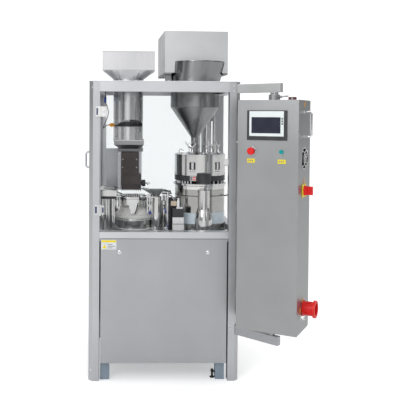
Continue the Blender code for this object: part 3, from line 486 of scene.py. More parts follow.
def repeatTree(kind, finish):
    tree = bpy.data.node_groups.new(kind + "Rows", "GeometryNodeTree")
    tree.interface.new_socket("Spots", in_out="INPUT", socket_type="NodeSocketGeometry")
    for label in ("Width", "Height", "Length"):
        tree.interface.new_socket(label, in_out="INPUT", socket_type="NodeSocketFloat")
    tree.interface.new_socket("Rows", in_out="OUTPUT", socket_type="NodeSocketGeometry")
    add = tree.nodes.new
    link = tree.links.new
    given = add("NodeGroupInput")
    result = add("NodeGroupOutput")
    join = add("GeometryNodeJoinGeometry")

    def times(value, factor):
        made = add("ShaderNodeMath")
        made.operation = "MULTIPLY"
        made.inputs[1].default_value = factor
        link(value, made.inputs[0])
        return made.outputs[0]

    if kind in ("slottedScrew", "pin"):
        shank = add("GeometryNodeMeshCylinder")
        sides = 16 if kind == "slottedScrew" else 10
        shank.inputs["Vertices"].default_value = sides
        link(given.outputs["Width"], shank.inputs["Radius"])
        link(given.outputs["Height"], shank.inputs["Depth"])
        crown = add("GeometryNodeMeshCone")
        crown.inputs["Vertices"].default_value = sides
        inner = times(given.outputs["Width"], crownShare)
        link(inner, crown.inputs["Radius Top"])
        link(given.outputs["Width"], crown.inputs["Radius Bottom"])
        link(inner, crown.inputs["Depth"])
        half = times(given.outputs["Height"], 0.5)
        lift = add("ShaderNodeCombineXYZ")
        link(half, lift.inputs["Z"])
        raised = add("GeometryNodeTransform")
        link(crown.outputs["Mesh"], raised.inputs["Geometry"])
        link(lift.outputs[0], raised.inputs["Translation"])
        head = join
        link(shank.outputs["Mesh"], join.inputs[0])
        link(raised.outputs[0], join.inputs[0])
        if kind == "slottedScrew":
            groove = add("GeometryNodeMeshCube")
            span = add("ShaderNodeCombineXYZ")
            for socket, factor in grooveShares:
                link(times(given.outputs["Width"], factor), span.inputs[socket])
            link(span.outputs[0], groove.inputs["Size"])
            top = add("GeometryNodeTransform")
            reach = add("ShaderNodeMath")
            reach.operation = "MULTIPLY_ADD"
            reach.inputs[1].default_value = crownShare
            link(given.outputs["Width"], reach.inputs[0])
            link(half, reach.inputs[2])
            up = add("ShaderNodeCombineXYZ")
            link(reach.outputs[0], up.inputs["Z"])
            link(groove.outputs["Mesh"], top.inputs["Geometry"])
            link(up.outputs[0], top.inputs["Translation"])
            head = add("GeometryNodeMeshBoolean")
            head.operation = "DIFFERENCE"
            link(join.outputs[0], head.inputs["Mesh 1"])
            link(top.outputs[0], head.inputs["Mesh 2"])
        shape = head.outputs[0]
    else:
        # a louvre is a half-round hood, pressed out of the sheet
        arch = add("GeometryNodeCurvePrimitiveCircle")
        arch.inputs["Resolution"].default_value = 12
        link(given.outputs["Width"], arch.inputs["Radius"])
        line = add("GeometryNodeCurvePrimitiveLine")
        ends = add("ShaderNodeCombineXYZ")
        link(given.outputs["Length"], ends.inputs["X"])
        link(ends.outputs[0], line.inputs["End"])
        tube = add("GeometryNodeCurveToMesh")
        tube.inputs["Fill Caps"].default_value = True
        link(line.outputs[0], tube.inputs["Curve"])
        link(arch.outputs[0], tube.inputs["Profile Curve"])
        shape = tube.outputs[0]
    facing = add("GeometryNodeInputNamedAttribute")
    facing.data_type = "FLOAT_VECTOR"
    facing.inputs["Name"].default_value = "facing"
    aim = add("FunctionNodeAlignRotationToVector")
    aim.axis = "Z"
    link(facing.outputs["Attribute"], aim.inputs["Vector"])
    copies = add("GeometryNodeInstanceOnPoints")
    link(given.outputs["Spots"], copies.inputs["Points"])
    link(shape, copies.inputs["Instance"])
    link(aim.outputs["Rotation"], copies.inputs["Rotation"])
    real = add("GeometryNodeRealizeInstances")
    link(copies.outputs[0], real.inputs[0])
    paint = add("GeometryNodeSetMaterial")
    paint.inputs["Material"].default_value = finishes[finish]
    link(real.outputs[0], paint.inputs["Geometry"])
    link(paint.outputs[0], result.inputs[0])
    return tree


def addRows(name, kind, spots, sizes, finish, body, space=inMachine):
    # spots are (place, facing) pairs in the given space; sizes are the tree's Width, Height and Length
    mesh = bpy.data.meshes.new(name + "Spots")
    mesh.from_pydata([place for place, facing in spots], [], [])
    facings = mesh.attributes.new("facing", "FLOAT_VECTOR", "POINT")
    for item, (place, facing) in zip(facings.data, spots):
        item.vector = facing
    holder = bpy.data.objects.new(name + "Spots", mesh)
    bpy.context.collection.objects.link(holder)
    rows = holder.modifiers.new("rows", "NODES")
    rows.node_group = repeatTree(kind, finish)
    for item in rows.node_group.interface.items_tree:
        if item.in_out == "INPUT" and item.name in sizes:
            rows[item.identifier] = sizes[item.name]
    bpy.context.view_layer.update()
    made = bpy.data.meshes.new_from_object(holder.evaluated_get(bpy.context.evaluated_depsgraph_get()))
    bpy.data.objects.remove(holder)
    made.name = name
    made.transform(space)
    made.shade_smooth()
    made.set_sharp_from_angle(angle=radians(edges["rowSmooth"]))
    piece = bpy.data.objects.new(name, made)
    bpy.context.collection.objects.link(piece)
    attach(piece, body)
    return piece


toFront, toBack, toLeft, toRight, upward, downward = (0, -1, 0), (0, 1, 0), (-1, 0, 0), (1, 0, 0), (0, 0,
        1), (0, 0, -1)

# ---------- control cabinet ----------

def dressCabinet():
    screen = {"at": (-0.0035, 1.4375), "glass": (-0.082, 0.074, -0.0415, 0.0425),
              "pale": (-0.094, 0.091, -0.0565, 0.0735)}
    sx, sz = screen["at"]
    left, right, low, high = screen["pale"]
    front = cabinetFace - 0.007
    pale = slab((sx + left, front - 0.0016, sz + low), (sx + right, front + 0.001, sz + high))
    addPiece("screenBezel", pale, "pale", "cabinet_body", inCabinet, 0.0008)
    left, right, low, high = screen["glass"]
    glass = slab((sx + left, front - 0.0022, sz + low), (sx + right, front, sz + high))
    addPiece("screenGlass", glass, "screen", "cabinet_body", inCabinet, 0.0004)
    keys = [slab((sx + 0.0775, front - 0.0026, sz + z), (sx + 0.0885, front, sz + z + 0.009)) for z in (0.004,
            0.017, 0.03)]
    addPiece("screenKeys", together(*keys), "greyPlastic", "cabinet_body", inCabinet, 0.0006)

    stop, start = (-0.0855, 1.302), (0.0765, 1.301)
    collar = turnedPart([(0.023, 0.0004), (0.023, 0.004), (0.0215, 0.0055), (0.0207, 0.0055),
                         (0.0207, 0.0004)], 32, True)
    lens = turnedPart([(0.0098, 0.0084), (0.012, 0.0088), (0.012, 0.0112), (0.0104, 0.0126)], 28)
    addPiece("startLens", placed(lens, (start[0], cabinetFace, start[1]), 90, "X"), "green", "start_body",
             inCabinet)
    addPiece("stopCollar", placed(collar, (stop[0], cabinetFace, stop[1]), 90, "X"), "chrome", "cabinet_body",
             inCabinet)
    rim = turnedPart([(0.0148, 0.0004), (0.0148, 0.0032), (0.0134, 0.005), (0.0106, 0.005), (0.0106, 0.0004)],
                     32, True)
    addPiece("startRim", placed(rim, (start[0], cabinetFace, start[1]), 90, "X"), "chrome", "cabinet_body",
             inCabinet)
    cards = [slab((x, cabinetFace - 0.0012, 1.24), (x + 0.042, cabinetFace - 0.0001,
            1.262)) for x in (-0.1095, 0.0555)]
    addPiece("buttonCards", together(*cards), "yellow", "cabinet_body", inCabinet, 0.0004)
    marks = [slab((x + 0.01 * k, cabinetFace - 0.0016, 1.247),
                  (x + 0.01 * k + 0.006, cabinetFace - 0.0009, 1.2555))
             for x in (-0.1035, 0.0615) for k in range(3)]
    addPiece("buttonCardMarks", together(*marks), "greyPlastic", "cabinet_body", inCabinet)
    tags = [slab((cabinetSide, y, z), (cabinetSide + 0.0012, y + 0.014, z + 0.024))
            for y, z in ((-0.008, 1.536), (-0.006, 1.134), (-0.004, 0.508), (-0.052, 0.462))]
    addPiece("sideTags", together(*tags), "orange", "cabinet_body", inCabinet, 0.0003)

    beacon = {"x": 0.118, "y": -0.07, "top": 1.57}
    base = together(slab((beacon["x"] - 0.02, beacon["y"] - 0.008, beacon["top"]),
                         (beacon["x"] + 0.02, beacon["y"] + 0.008, beacon["top"] + 0.015)))
    addPiece("hourLampBody", base, "darkRed", "cabinet_body", inCabinet, 0.002)
    plate = slab((beacon["x"] - 0.006, beacon["y"] - 0.0088, beacon["top"] + 0.001),
                 (beacon["x"] + 0.006, beacon["y"] + 0.0088, beacon["top"] + 0.0162))
    addPiece("hourLampClip", plate, "chrome", "cabinet_body", inCabinet, 0.001)

    gland = turnedPart([(0.016, 0.0), (0.016, 0.006), (0.012, 0.007), (0.012, 0.022), (0.0105, 0.026),
                        (0.007, 0.026),
                        (0.007, 0.0)], 20, True)
    addPiece("cableGland", placed(gland, (cabinetSide, -0.044, 0.44), 90, "Y"), "chrome", "cabinet_body",
             inCabinet)
    pins = [((cabinetSide + 0.022, 0.022 + 0.017 * cos(a), 0.473 + 0.017 * sin(a)), toRight)
            for a in [2 * pi * k / 5 + 0.3 for k in range(5)]]
    addRows("inletPins", "pin", pins, {"Width": 0.0032, "Height": 0.04}, "chrome", "cabinet_body", inCabinet)
    flange = turnedPart([(0.0352, 0.001), (0.04, 0.001), (0.04, 0.0055), (0.0352, 0.0085)], 32, True)
    ribs = [band(0.0348, 0.018, 0.05, turn, turn + 10, 0.0022, 4) for turn in range(0, 360, 24)]
    addPiece("inletCollar", placed(together(flange, *ribs), (cabinetSide, 0.022, 0.473), 90, "Y"), "red",
             "cabinet_body", inCabinet)
    feet = [placed(turnedPart([(0.0085, 0.0), (0.0085, 0.002), (0.007, 0.003), (0.0056, 0.003),
                               (0.0056, 0.0)], 20, True),
                   (cabinetSide, -0.009, z), 90, "Y") for z in (1.38, 1.508)]
    addPiece("handleFeet", together(*feet), "chrome", "cabinet_body", inCabinet)
    screws = [((cabinetSide + 0.004, y, 1.0975 + z), toRight) for y in (-0.027, 0.027) for z in (-0.027,
            0.027)]
    screws += [((cabinetSide + 0.0034, -0.0044 + 0.056 * cos(a), 1.266 + 0.056 * sin(a)), toRight)
               for a in [pi / 4 + pi * k / 2 for k in range(4)]]
    screws += [((x, 0.123, z), toBack) for x in (-0.152, 0.152) for z in (0.37, 0.96, 1.553)]
    screws += [((0.03 * cos(a), 0.03 * sin(a), 1.586), (cos(a), sin(a), 0)) for a in (-1.9, 2.2)]
    addRows("cabinetScrews", "slottedScrew", [s for s in screws if s[1] != toBack],
            {"Width": 0.0032, "Height": 0.0014},
            "chrome", "cabinet_body", inCabinet)
    addRows("cabinetBackScrews", "slottedScrew", [s for s in screws if s[1] == toBack],
            {"Width": 0.0042, "Height": 0.002},
            "chrome", "cabinet_back_body", inCabinet)
    hinges = [together(bar([(-0.1665, 0.1109, z), (-0.1665, 0.1109, z + 0.06)], 0.0052, 14),
                       slab((-0.165, 0.08, z + 0.004), (-0.1636, 0.1109, z + 0.056))) for z in (0.44, 0.93,
                               1.42)]
    addPiece("cabinetBackHinges", together(*hinges), "chrome", "cabinet_body", inCabinet, 0.0006)
    vents = [((-0.06, 0.1229, 0.64 + 0.022 * k), upward) for k in range(9)]
    addRows("cabinetLouvres", "louvre", vents, {"Width": 0.0042, "Length": 0.12},
            "cabinetSteel", "cabinet_back_body", inCabinet)
    caps = [turnedPart([(0.022, z), (0.022, z + 0.004), (0.019, z + 0.006), (0.0165, z + 0.006), (0.0165, z)],
                       28, True)
            for z in (1.6004, 1.606)]
    addPiece("pivotWashers", together(*caps), "chrome", "cabinet_body", inCabinet)


dressCabinet()
print("cabinet dressed")


# ---------- frame, doors and lower covers ----------

def dressFrame():
    plate = {"x": (-0.35, -0.265), "z": (0.738, 0.792), "front": -0.3995}
    x0, x1 = plate["x"]
    z0, z1 = plate["z"]
    front = plate["front"]
    card = slab((x0, front - 0.0012, z0), (x1, front + 0.0001, z1))
    addPiece("panelCard", card, "cardWhite", "front_panel_body", bevel=0.0004)
    strip = slab((x0 + 0.002, front - 0.0018, z1 - 0.013), (x1 - 0.002, front - 0.0006, z1 - 0.002))
    corner = skin([[Vector((x, y, z)) for x, z in ((x0 + 0.006, z0 + 0.007), (x0 + 0.03, z0 + 0.007),
            (x0 + 0.018, z0 + 0.028))]
                   for y in (front - 0.0018, front - 0.0006)])
    addPiece("panelCardColour", together(strip, corner), "yellow", "front_panel_body")
    lines = []
    for k in range(3):
        low, end = z0 + 0.008 + 0.009 * k, x1 - (0.008 if k % 2 else 0.022)
        lines.append(slab((x0 + 0.036, front - 0.0017, low), (end, front - 0.0008, low + 0.0035)))
    addPiece("panelCardLines", together(*lines), "greyPlastic", "front_panel_body")
    for side, x in (("Left", -0.247), ("Right", 0.247)):
        # a black bar for the key slot of each lock: painted shade in the slot
        slotBar = placed(slab((-0.0065, -0.0006, -0.0009), (0.0065, 0.0008, 0.0009)),
                         (x, front - 0.0036, 0.723), 35, "Y")
        addPiece("lockSlot" + side, slotBar, "black", "lock_" + side.lower() + "_body")

    leaf = together(slab((-0.387, -0.4042, 0.932), (-0.3605, -0.4004, 0.986)),
                    bar([(-0.355, -0.4075, 0.928), (-0.355, -0.4075, 0.99)], 0.0062, 16),
                    slab((-0.35, -0.406, 0.934), (-0.333, -0.403, 0.984)))
    addPiece("doorHinge", leaf, "chrome", "machine", bevel=0.0008)
    eyes = together(slab((-0.3845, -0.4052, 0.94), (-0.3745, -0.403, 0.978)),
                    slab((-0.3455, -0.407, 0.944), (-0.3365, -0.405, 0.974)))
    addPiece("doorHingePads", eyes, "navy", "machine", bevel=0.0006)
    mark = slab((-0.3785, -0.4192, 1.486), (-0.37, -0.4178, 1.524))
    addPiece("switchInset", mark, "navy", "machine", bevel=0.0004)
    groove = slab((-0.342, -0.4196, 1.497), (-0.333, -0.417, 1.513))
    addPiece("switchKeeper", groove, "chrome", "machine", bevel=0.0008)
    catch = skin([[Vector((0.3585 - 0.0265 * reach, -0.372 + 0.012 * cos(a) * size,
                           1.224 + 0.02 * sin(a) * size))
                   for a in [2 * pi * k / 16 for k in range(16)]] for reach,
                  size in ((0, 1), (0.6, 1), (0.9, 0.8), (1.0, 0.5))])
    addPiece("rightCatch", catch, "white", "machine")
    foot = turnedPart([(0.013, 0.0005), (0.014, 0.005), (0.006, 0.009), (0.006, 0.04), (0.0085, 0.041),
                       (0.0085, 0.047)], 18)
    addPiece("levellingFoot", placed(foot, (0.28, -0.345, 0.0)), "black", "machine")
    lug = slab((0.272, -0.352, 0.03), (0.296, -0.338, 0.038))
    addPiece("footLug", lug, "black", "machine", bevel=0.001)

    lips = [bar([(-0.4195, y, 1.6745), (0.4195, y, 1.6745)], 0.0026, 10) for y in (-0.3985, 0.3985)]
    lips += [bar([(x, -0.3985, 1.6745), (x, 0.3985, 1.6745)], 0.0026, 10) for x in (-0.4185, 0.4185)]
    addPiece("topCoverLip", together(*lips), "beamSteel", "machine")
    chamfer = Vector((1, -1, 0)).normalized()
    screws = [((0.4035, -0.395, z), tuple(chamfer)) for z in (1.34,)]
    screws += [((0.384, -0.4004, z), toFront) for z in (1.65, 1.622)] + [((0.372, -0.4004, z),
            toFront) for z in (0.315, 0.297)]
    screws += [((-0.4045, -0.3945, z), (-chamfer.x, chamfer.y, 0)) for z in (1.64, 0.06)]
    addRows("frameScrews", "slottedScrew", screws, {"Width": 0.0052, "Height": 0.0022}, "chrome", "machine")
    sideScrews = [((x, y, z), toLeft if x < 0 else toRight) for x in (-0.4204, 0.4204) for y in (-0.315,
            0.315)
                  for z in (0.125, 0.445, 0.775)]
    sideScrews += [((x, 0.4004, z), toBack) for x in (-0.335, 0.335) for z in (0.125, 0.445, 0.775)]
    sideScrews += [((x, y, 1.6764), upward) for x in (-0.395, 0.395) for y in (-0.375, 0.0, 0.375)]
    sideScrews += [((x, y, 1.6764), upward) for x in (-0.13, 0.02) for y in (-0.375, 0.375)]
    addRows("coverScrews", "slottedScrew", sideScrews, {"Width": 0.0046, "Height": 0.002}, "chrome",
            "machine")
    louvres = [((x, 0.4002, 0.56 + 0.026 * k), upward) for x in (-0.25, 0.05) for k in range(8)]
    addRows("rearLouvres", "louvre", louvres, {"Width": 0.0062, "Length": 0.2}, "skirtSteel", "machine")
    slits = together(*[bar([(x, -0.09, 0.6 + 0.026 * k), (x, 0.09, 0.6 + 0.026 * k)], 0.006, 12)
                       for x in (-0.4196, 0.4196) for k in range(7)])
    addPiece("sideLouvres", slits, "skirtSteel", "machine")

    hinges = [together(bar([(-0.4245, 0.3396, z), (-0.4245, 0.3396, z + 0.06)], 0.0055, 14),
                       slab((-0.4218, 0.34, z + 0.004), (-0.4202, 0.368, z + 0.056))) for z in (0.93, 1.45)]
    addPiece("leftDoorHinges", together(*hinges), "chrome", "machine", bevel=0.0006)
    hinges = [slab((0.366, 0.4002, z), (0.39, 0.4018, z + 0.056)) for z in (0.93, 1.45)]
    addPiece("rearDoorHinges", together(*hinges), "chrome", "machine", bevel=0.0006)
    leaves = [slab((0.334, 0.4, z), (0.357, 0.4014, z + 0.056)) for z in (0.93, 1.45)]
    addPiece("rearDoorLeaves", together(*leaves), "chrome", "rear_door_body", bevel=0.0006)
    latch = together(slab((-0.352, 0.388, 1.15), (-0.338, 0.3935, 1.24)),
                     bar([(-0.345, 0.3885, 1.17), (-0.345, 0.376, 1.175),
                     (-0.345, 0.376, 1.215), (-0.345, 0.3885, 1.22)], 0.0035, 10))
    addPiece("rearDoorLatch", latch, "paleBlue", "rear_door_body", bevel=0.0008)
    buffer = slab((-0.3888, -0.3352, 0.85), (-0.3842, -0.33, 1.6))
    addPiece("leftDoorGasket", buffer, "rubber", "left_door_body", bevel=0.0005)
    knobs = [placed(turnedPart([(0.01, 0.0), (0.01, 0.003), (0.0062, 0.0055)], 16), (-0.4204, -0.3192, z),
                    -90, "Y")
             for z in (1.19, 1.277)]
    addPiece("doorHandleFeet", together(*knobs), "chrome", "left_door_body")

    carrier = together(slab((0.31, 0.33, 1.455), (0.358, 0.342, 1.612)),
                       slab((0.334, 0.318, 1.47), (0.352, 0.332, 1.585)))
    addPiece("rearBracket", carrier, "dullSteel", "machine", bevel=0.001)
    blocks = [slab((x, 0.3225, z), (x + 0.015, 0.3305, z + 0.015)) for x in (0.312, 0.332) for z in (1.478,
            1.502)]
    addPiece("rearBracketPads", together(*blocks), "black", "machine", bevel=0.0008)


dressFrame()
print("frame dressed")


# ---------- capsule side ----------

def dressCapsuleSide():
    tube = {"at": (-0.208, -0.07), "radius": 0.088}
    tx, ty = tube["at"]
    seam = [band(tube["radius"] + 0.0002, 1.4165, 1.4195, -72, 72, 0.0016, 30)]
    seam = [placed(s, (tx, ty, 0)) for s in seam]
    addPiece("tubeWindowSill", together(*seam), "dullSteel", "machine", bevel=0.0003)
    screws = []
    for degreesRound, z in ((-4, 1.392), (6, 1.392), (-40, 1.395), (44, 1.395), (-60, 1.585), (60, 1.585)):
        a = radians(degreesRound)
        screws.append(((tx + (tube["radius"] + 0.0004) * sin(a), ty - (tube["radius"] + 0.0004) * cos(a), z),
                       (sin(a), -cos(a), 0)))
    addRows("tubeScrews", "slottedScrew", screws, {"Width": 0.003, "Height": 0.002}, "chrome", "machine")
    dimples = []
    for k in range(26):
        a = radians(-80 + 160 * k / 25)
        for row in range(12):
            shift = radians(3.2) * (row % 2)
            dimples.append(((tx + (tube["radius"] + 0.0001) * sin(a + shift),
                             ty - (tube["radius"] + 0.0001) * cos(a + shift),
                             1.466 + 0.0125 * row), (sin(a + shift), -cos(a + shift), 0)))
    addRows("tubeDimples", "pin", dimples, {"Width": 0.0019, "Height": 0.0006}, "dullSteel", "machine")

    flare = skin([[Vector(p) for p in ring] for ring in (
        ((-0.296, -0.161, 1.34), (-0.2895, -0.164, 1.34), (-0.253, -0.113, 1.288), (-0.259, -0.108, 1.288)),
        ((-0.296, 0.004, 1.34), (-0.2895, 0.004, 1.34), (-0.253, -0.03, 1.288), (-0.259, -0.03, 1.288)))])
    addPiece("chuteCheek", flare, "skirtSteel", "machine", bevel=0.0006)
    lip = slab((-0.2905, -0.1618, 1.336), (-0.1125, -0.16, 1.3412))
    addPiece("chuteLip", lip, "beamSteel", "machine", bevel=0.0004)

    cheeks = together(slab((-0.269, -0.1025, 1.04), (-0.2485, -0.1004, 1.269)),
                      slab((-0.142, -0.1025, 1.04), (-0.1255, -0.1004, 1.269)))
    addPiece("feederCheeks", cheeks, "skirtSteel", "machine", bevel=0.0005)
    bolts = [((x, -0.1026, z), toFront) for x in (-0.259,) for z in (1.06, 1.12, 1.19, 1.255)]
    bolts += [((-0.3255, 0.0975, z), toLeft) for z in (0.86, 1.0, 1.25)]
    addRows("feederBolts", "slottedScrew", bolts, {"Width": 0.0034, "Height": 0.0016}, "chrome", "machine")
    backPlate = slab((-0.346, 0.064, 1.035), (-0.27, 0.069, 1.28))
    addPiece("feederBackPlate", backPlate, "skirtSteel", "machine", bevel=0.0008)

    mx, my, mz = -0.195, -0.113, 1.15
    spots = [((mx + x, my - 0.0122, mz + z), toFront) for x in (-0.043, 0.04) for z in (0.026, 0.074)]
    addRows("magazineScrews", "slottedScrew", spots, {"Width": 0.003, "Height": 0.0012}, "chrome",
            "magazine_body")
    # black discs where the magazine has holes: painted shade in the holes
    holes = [((mx + x, my - 0.0172, mz - 0.02), toFront) for x in (-0.022, -0.012, -0.002, 0.016, 0.026,
            0.036)]
    addRows("magazineHoles", "pin", holes, {"Width": 0.0026, "Height": 0.0008}, "black", "magazine_body")
    lips = [slab((mx - 0.05, my - 0.0182, mz - 0.029), (mx + 0.064, my - 0.0165, mz - 0.0265)),
            slab((mx - 0.05, my - 0.0178, mz - 0.0745), (mx + 0.064, my - 0.0165, mz - 0.072))]
    addPiece("magazineRidges", together(*lips), "charcoal", "magazine_body", bevel=0.0003)
    teeth = [((mx - 0.0482 + 0.0124 * k, my - 0.003, mz - 0.1085), downward) for k in range(10)]
    addRows("magazineNozzles", "pin", teeth, {"Width": 0.003, "Height": 0.012}, "chrome", "magazine_body")
    kx, ky, kz = -0.1295, -0.115, 1.082
    rimKnob = [band(0.019, 0.009, 0.023, turn, turn + 9, 0.001, 2) for turn in range(0, 360, 20)]
    addPiece("gateKnobGrip", placed(together(*rimKnob), (kx, ky, kz), 90, "Y"), "black", "gate_knob_body")
    tip = placed(turnedPart([(0.0026, 0.038), (0.006, 0.039), (0.0075, 0.043), (0.0075, 0.05),
                             (0.005, 0.053)], 16),
                 (kx, ky, kz), 90, "Y")
    addPiece("gateKnobTip", tip, "chrome", "gate_knob_body")
    block = slab((-0.145, -0.128, 1.056), (-0.1305, -0.101, 1.105))
    addPiece("gateBlock", block, "black", "magazine_body", bevel=0.001)

    # a black arch along the top edge of the tube's window opening: painted shade inside the opening
    arch = []
    for k in range(24):
        a, b = radians(-70 + 140 * k / 24), radians(-70 + 140 * (k + 1) / 24)
        rings = []
        for r in (tube["radius"] + 0.0002, tube["radius"] + 0.0014):
            rings.append([Vector((tx + r * sin(a), ty - r * cos(a), 1.42)),
                          Vector((tx + r * sin(b), ty - r * cos(b), 1.42)),
                          Vector((tx + r * sin(b), ty - r * cos(b), 1.4225 + 0.024 * cos(b * 1.2) ** 2)),
                          Vector((tx + r * sin(a), ty - r * cos(a), 1.4225 + 0.024 * cos(a * 1.2) ** 2))])
        arch.append(skin(rings))
    addPiece("tubeWindowShadowArch", together(*arch), "black", "machine")

    plug = placed(turnedPart([(0.0046, 0.0), (0.0062, 0.003), (0.0062, 0.03), (0.0046, 0.034)], 16),
                  (-0.3455, -0.09, 1.56))
    addPiece("sensorPlug", plug, "blue", "machine")
    sleeve = placed(turnedPart([(0.0112, -0.004), (0.0112, -0.017), (0.0075, -0.019), (0.0045, -0.027)], 18),
                    (-0.296, -0.07, 1.427), 90, "Y")
    addPiece("sensorCollar", sleeve, "orange", "machine")


dressCapsuleSide()
print("capsule side dressed")


# ---------- turret ----------

def dressTurret():
    tx, ty = -0.167, -0.05
    turret = inMachine @ Matrix.Translation((tx, ty, 0))
    holders, lids, pins = [], [], []
    for k in range(12):
        turn = 30 * k
        holders.append(placed(slab((-0.0165, -0.111, 0.9824), (0.0165, -0.076, 0.993)), (0, 0, 0), turn))
        lids.append(placed(slab((-0.015, -0.099, 0.9934), (0.015, -0.07, 1.0)), (0, 0, 0), turn))
        for x in (-0.0105, 0.0, 0.0105):
            spot = Matrix.Rotation(radians(turn), 3, "Z") @ Vector((x, -0.105, 0.996))
            pins.append((tuple(spot), upward))
    addPiece("segmentHolders", together(*holders), "dullSteel", "turret_body", turret, 0.0012)
    addPiece("segmentLids", together(*lids), "mirrorSteel", "turret_body", turret, 0.001)
    addRows("segmentPins", "pin", pins, {"Width": 0.0024, "Height": 0.008}, "chrome", "turret_body", turret)
    rods = [((0.052 * cos(a), 0.052 * sin(a), 0.994), upward) for a in [2 * pi * k / 6 for k in range(6)]]
    addRows("hubScrews", "slottedScrew", rods, {"Width": 0.0036, "Height": 0.008}, "chrome", "turret_body",
            turret)
    rings = [turnedPart([(r, z), (r + 0.0022, z), (r + 0.0022, z + h), (r, z + h)], 48, True)
             for r, z, h in ((0.1181, 0.8775, 0.0035), (0.1121, 0.807, 0.006), (0.1121, 0.863, 0.004))]
    addPiece("drumRings", together(*rings), "castSteel", "machine", turret)
    bolts = [((0.1175 * cos(a), 0.1175 * sin(a), 0.8925),
              upward) for a in [2 * pi * (k + 0.5) / 12 for k in range(12)]]
    addRows("drumBolts", "slottedScrew", bolts, {"Width": 0.004, "Height": 0.0016}, "chrome", "machine",
            turret)

    front = {"y": -0.174, "x": (-0.214, -0.141), "z": (0.956, 1.0)}
    x0, x1 = front["x"]
    plate = slab((x0, front["y"] - 0.004, front["z"][0]), (x1, front["y"], front["z"][1]))
    tail = skin([[Vector((x, y, z)) for x, z in ((x0 + 0.014, 0.956), (x1 - 0.01, 0.956), (x1 - 0.022, 0.905),
            (x0 + 0.026, 0.905))]
                 for y in (front["y"] - 0.004, front["y"])])
    addPiece("frontGuide", together(plate, tail), "silverPaint", "machine", bevel=0.0012)
    ledge = slab((x0 - 0.002, front["y"] - 0.01, 0.992), (x1 + 0.002, -0.16, 1.004))
    addPiece("frontGuideLedge", ledge, "mirrorSteel", "machine", bevel=0.0015)
    edge = bar([(x1 - 0.004, front["y"] - 0.003, 0.972), (x1 - 0.014, front["y"] - 0.003, 0.93),
                (x1 - 0.024, front["y"] - 0.003, 0.904)],
               0.0032, 8)
    addPiece("frontGuideEdge", edge, "black", "machine")
    screws = [((x, front["y"] - 0.0042, z), toFront) for x, z in ((-0.186, 0.928), (-0.176, 0.914),
            (-0.205, 0.984), (-0.15, 0.984))]
    addRows("frontGuideScrews", "slottedScrew", screws, {"Width": 0.003, "Height": 0.0014}, "chrome",
            "machine")
    block = together(slab((-0.252, -0.136, 1.004), (-0.136, -0.1, 1.012)),
                     slab((-0.214, -0.15, 1.0045), (-0.14, -0.138, 1.02)))
    addPiece("capsuleBridge", block, "charcoal", "machine", bevel=0.001)
    row = [((-0.218 + 0.0105 * k, -0.152, 1.012), upward) for k in range(9)]
    addRows("bridgePins", "pin", row, {"Width": 0.0028, "Height": 0.026}, "chrome", "machine")

    nozzles = []
    for x, y in ((-0.09, -0.168), (-0.076, -0.16), (-0.064, -0.15)):
        nozzles.append(placed(turnedPart([(0.0022, 0.902), (0.0045, 0.912), (0.0045, 0.975), (0.0075, 0.977),
                (0.0075, 1.0)], 14), (x, y, 0)))
    nozzles.append(placed(turnedPart([(0.003, 0.924), (0.012, 0.96), (0.012, 0.985), (0.005, 0.988),
            (0.005, 1.004)], 18), (-0.268, -0.16, 0)))
    nozzles.append(placed(turnedPart([(0.0045, 0.926), (0.0045, 1.0)], 12), (-0.254, -0.172, 0)))
    addPiece("airNozzles", together(*nozzles), "chrome", "machine")
    arms = together(slab((-0.098, -0.172, 1.0004), (-0.05, -0.14, 1.008)),
                    slab((-0.276, -0.18, 1.0045), (-0.246, -0.13, 1.011)),
                    bar([(-0.074, -0.15, 1.006), (-0.06, -0.08, 1.01), (-0.036, -0.04, 0.99),
                         (-0.02, -0.02, 0.802)], 0.0042, 8))
    addPiece("nozzleArms", arms, "mirrorSteel", "machine", bevel=0.0008)
    tips = placed(turnedPart([(0.003, 0.9005), (0.0062, 0.904), (0.0062, 0.918), (0.0046, 0.92)], 12),
                  (-0.076, -0.1605, 0))
    addPiece("nozzleTip", tips, "blue", "machine")

    chute = skin([[Vector(p) for p in ring] for ring in (
        ((-0.372, -0.212, 1.052), (-0.262, -0.205, 1.04), (-0.262, -0.205, 1.044), (-0.372, -0.212, 1.056)),
        ((-0.36, -0.15, 1.066), (-0.29, -0.15, 1.062), (-0.29, -0.15, 1.066), (-0.36, -0.15, 1.07)),
        ((-0.345, -0.1, 1.058), (-0.262, -0.095, 1.048), (-0.262, -0.095, 1.052), (-0.345, -0.1, 1.062)))])
    addPiece("trayCover", chute, "mirrorSteel", "machine", bevel=0.0006)
    slope = skin([[Vector(p) for p in ring] for ring in (
        ((-0.29, -0.205, 1.038), (-0.29, -0.12, 1.038), (-0.29, -0.12, 1.042), (-0.29, -0.205, 1.042)),
        ((-0.226, -0.19, 1.012), (-0.226, -0.13, 1.012), (-0.226, -0.13, 1.016), (-0.226, -0.19, 1.016)))])
    addPiece("traySlope", slope, "mirrorSteel", "machine", bevel=0.0006)
    under = slab((-0.362, -0.202, 0.996), (-0.276, -0.066, 1.0115))
    addPiece("trayUnderside", under, "charcoal", "machine", bevel=0.0015)
    legs = [placed(turnedPart([(0.0085, 0.8004), (0.0085, 0.806), (0.0062, 0.808), (0.0062, 0.996)], 16),
                   (x, y, 0))
            for x, y in ((-0.318, -0.15), (-0.286, -0.196))]
    addPiece("trayLegs", together(*legs), "mirrorSteel", "machine")


dressTurret()
print("turret dressed")


# ---------- middle of the table ----------

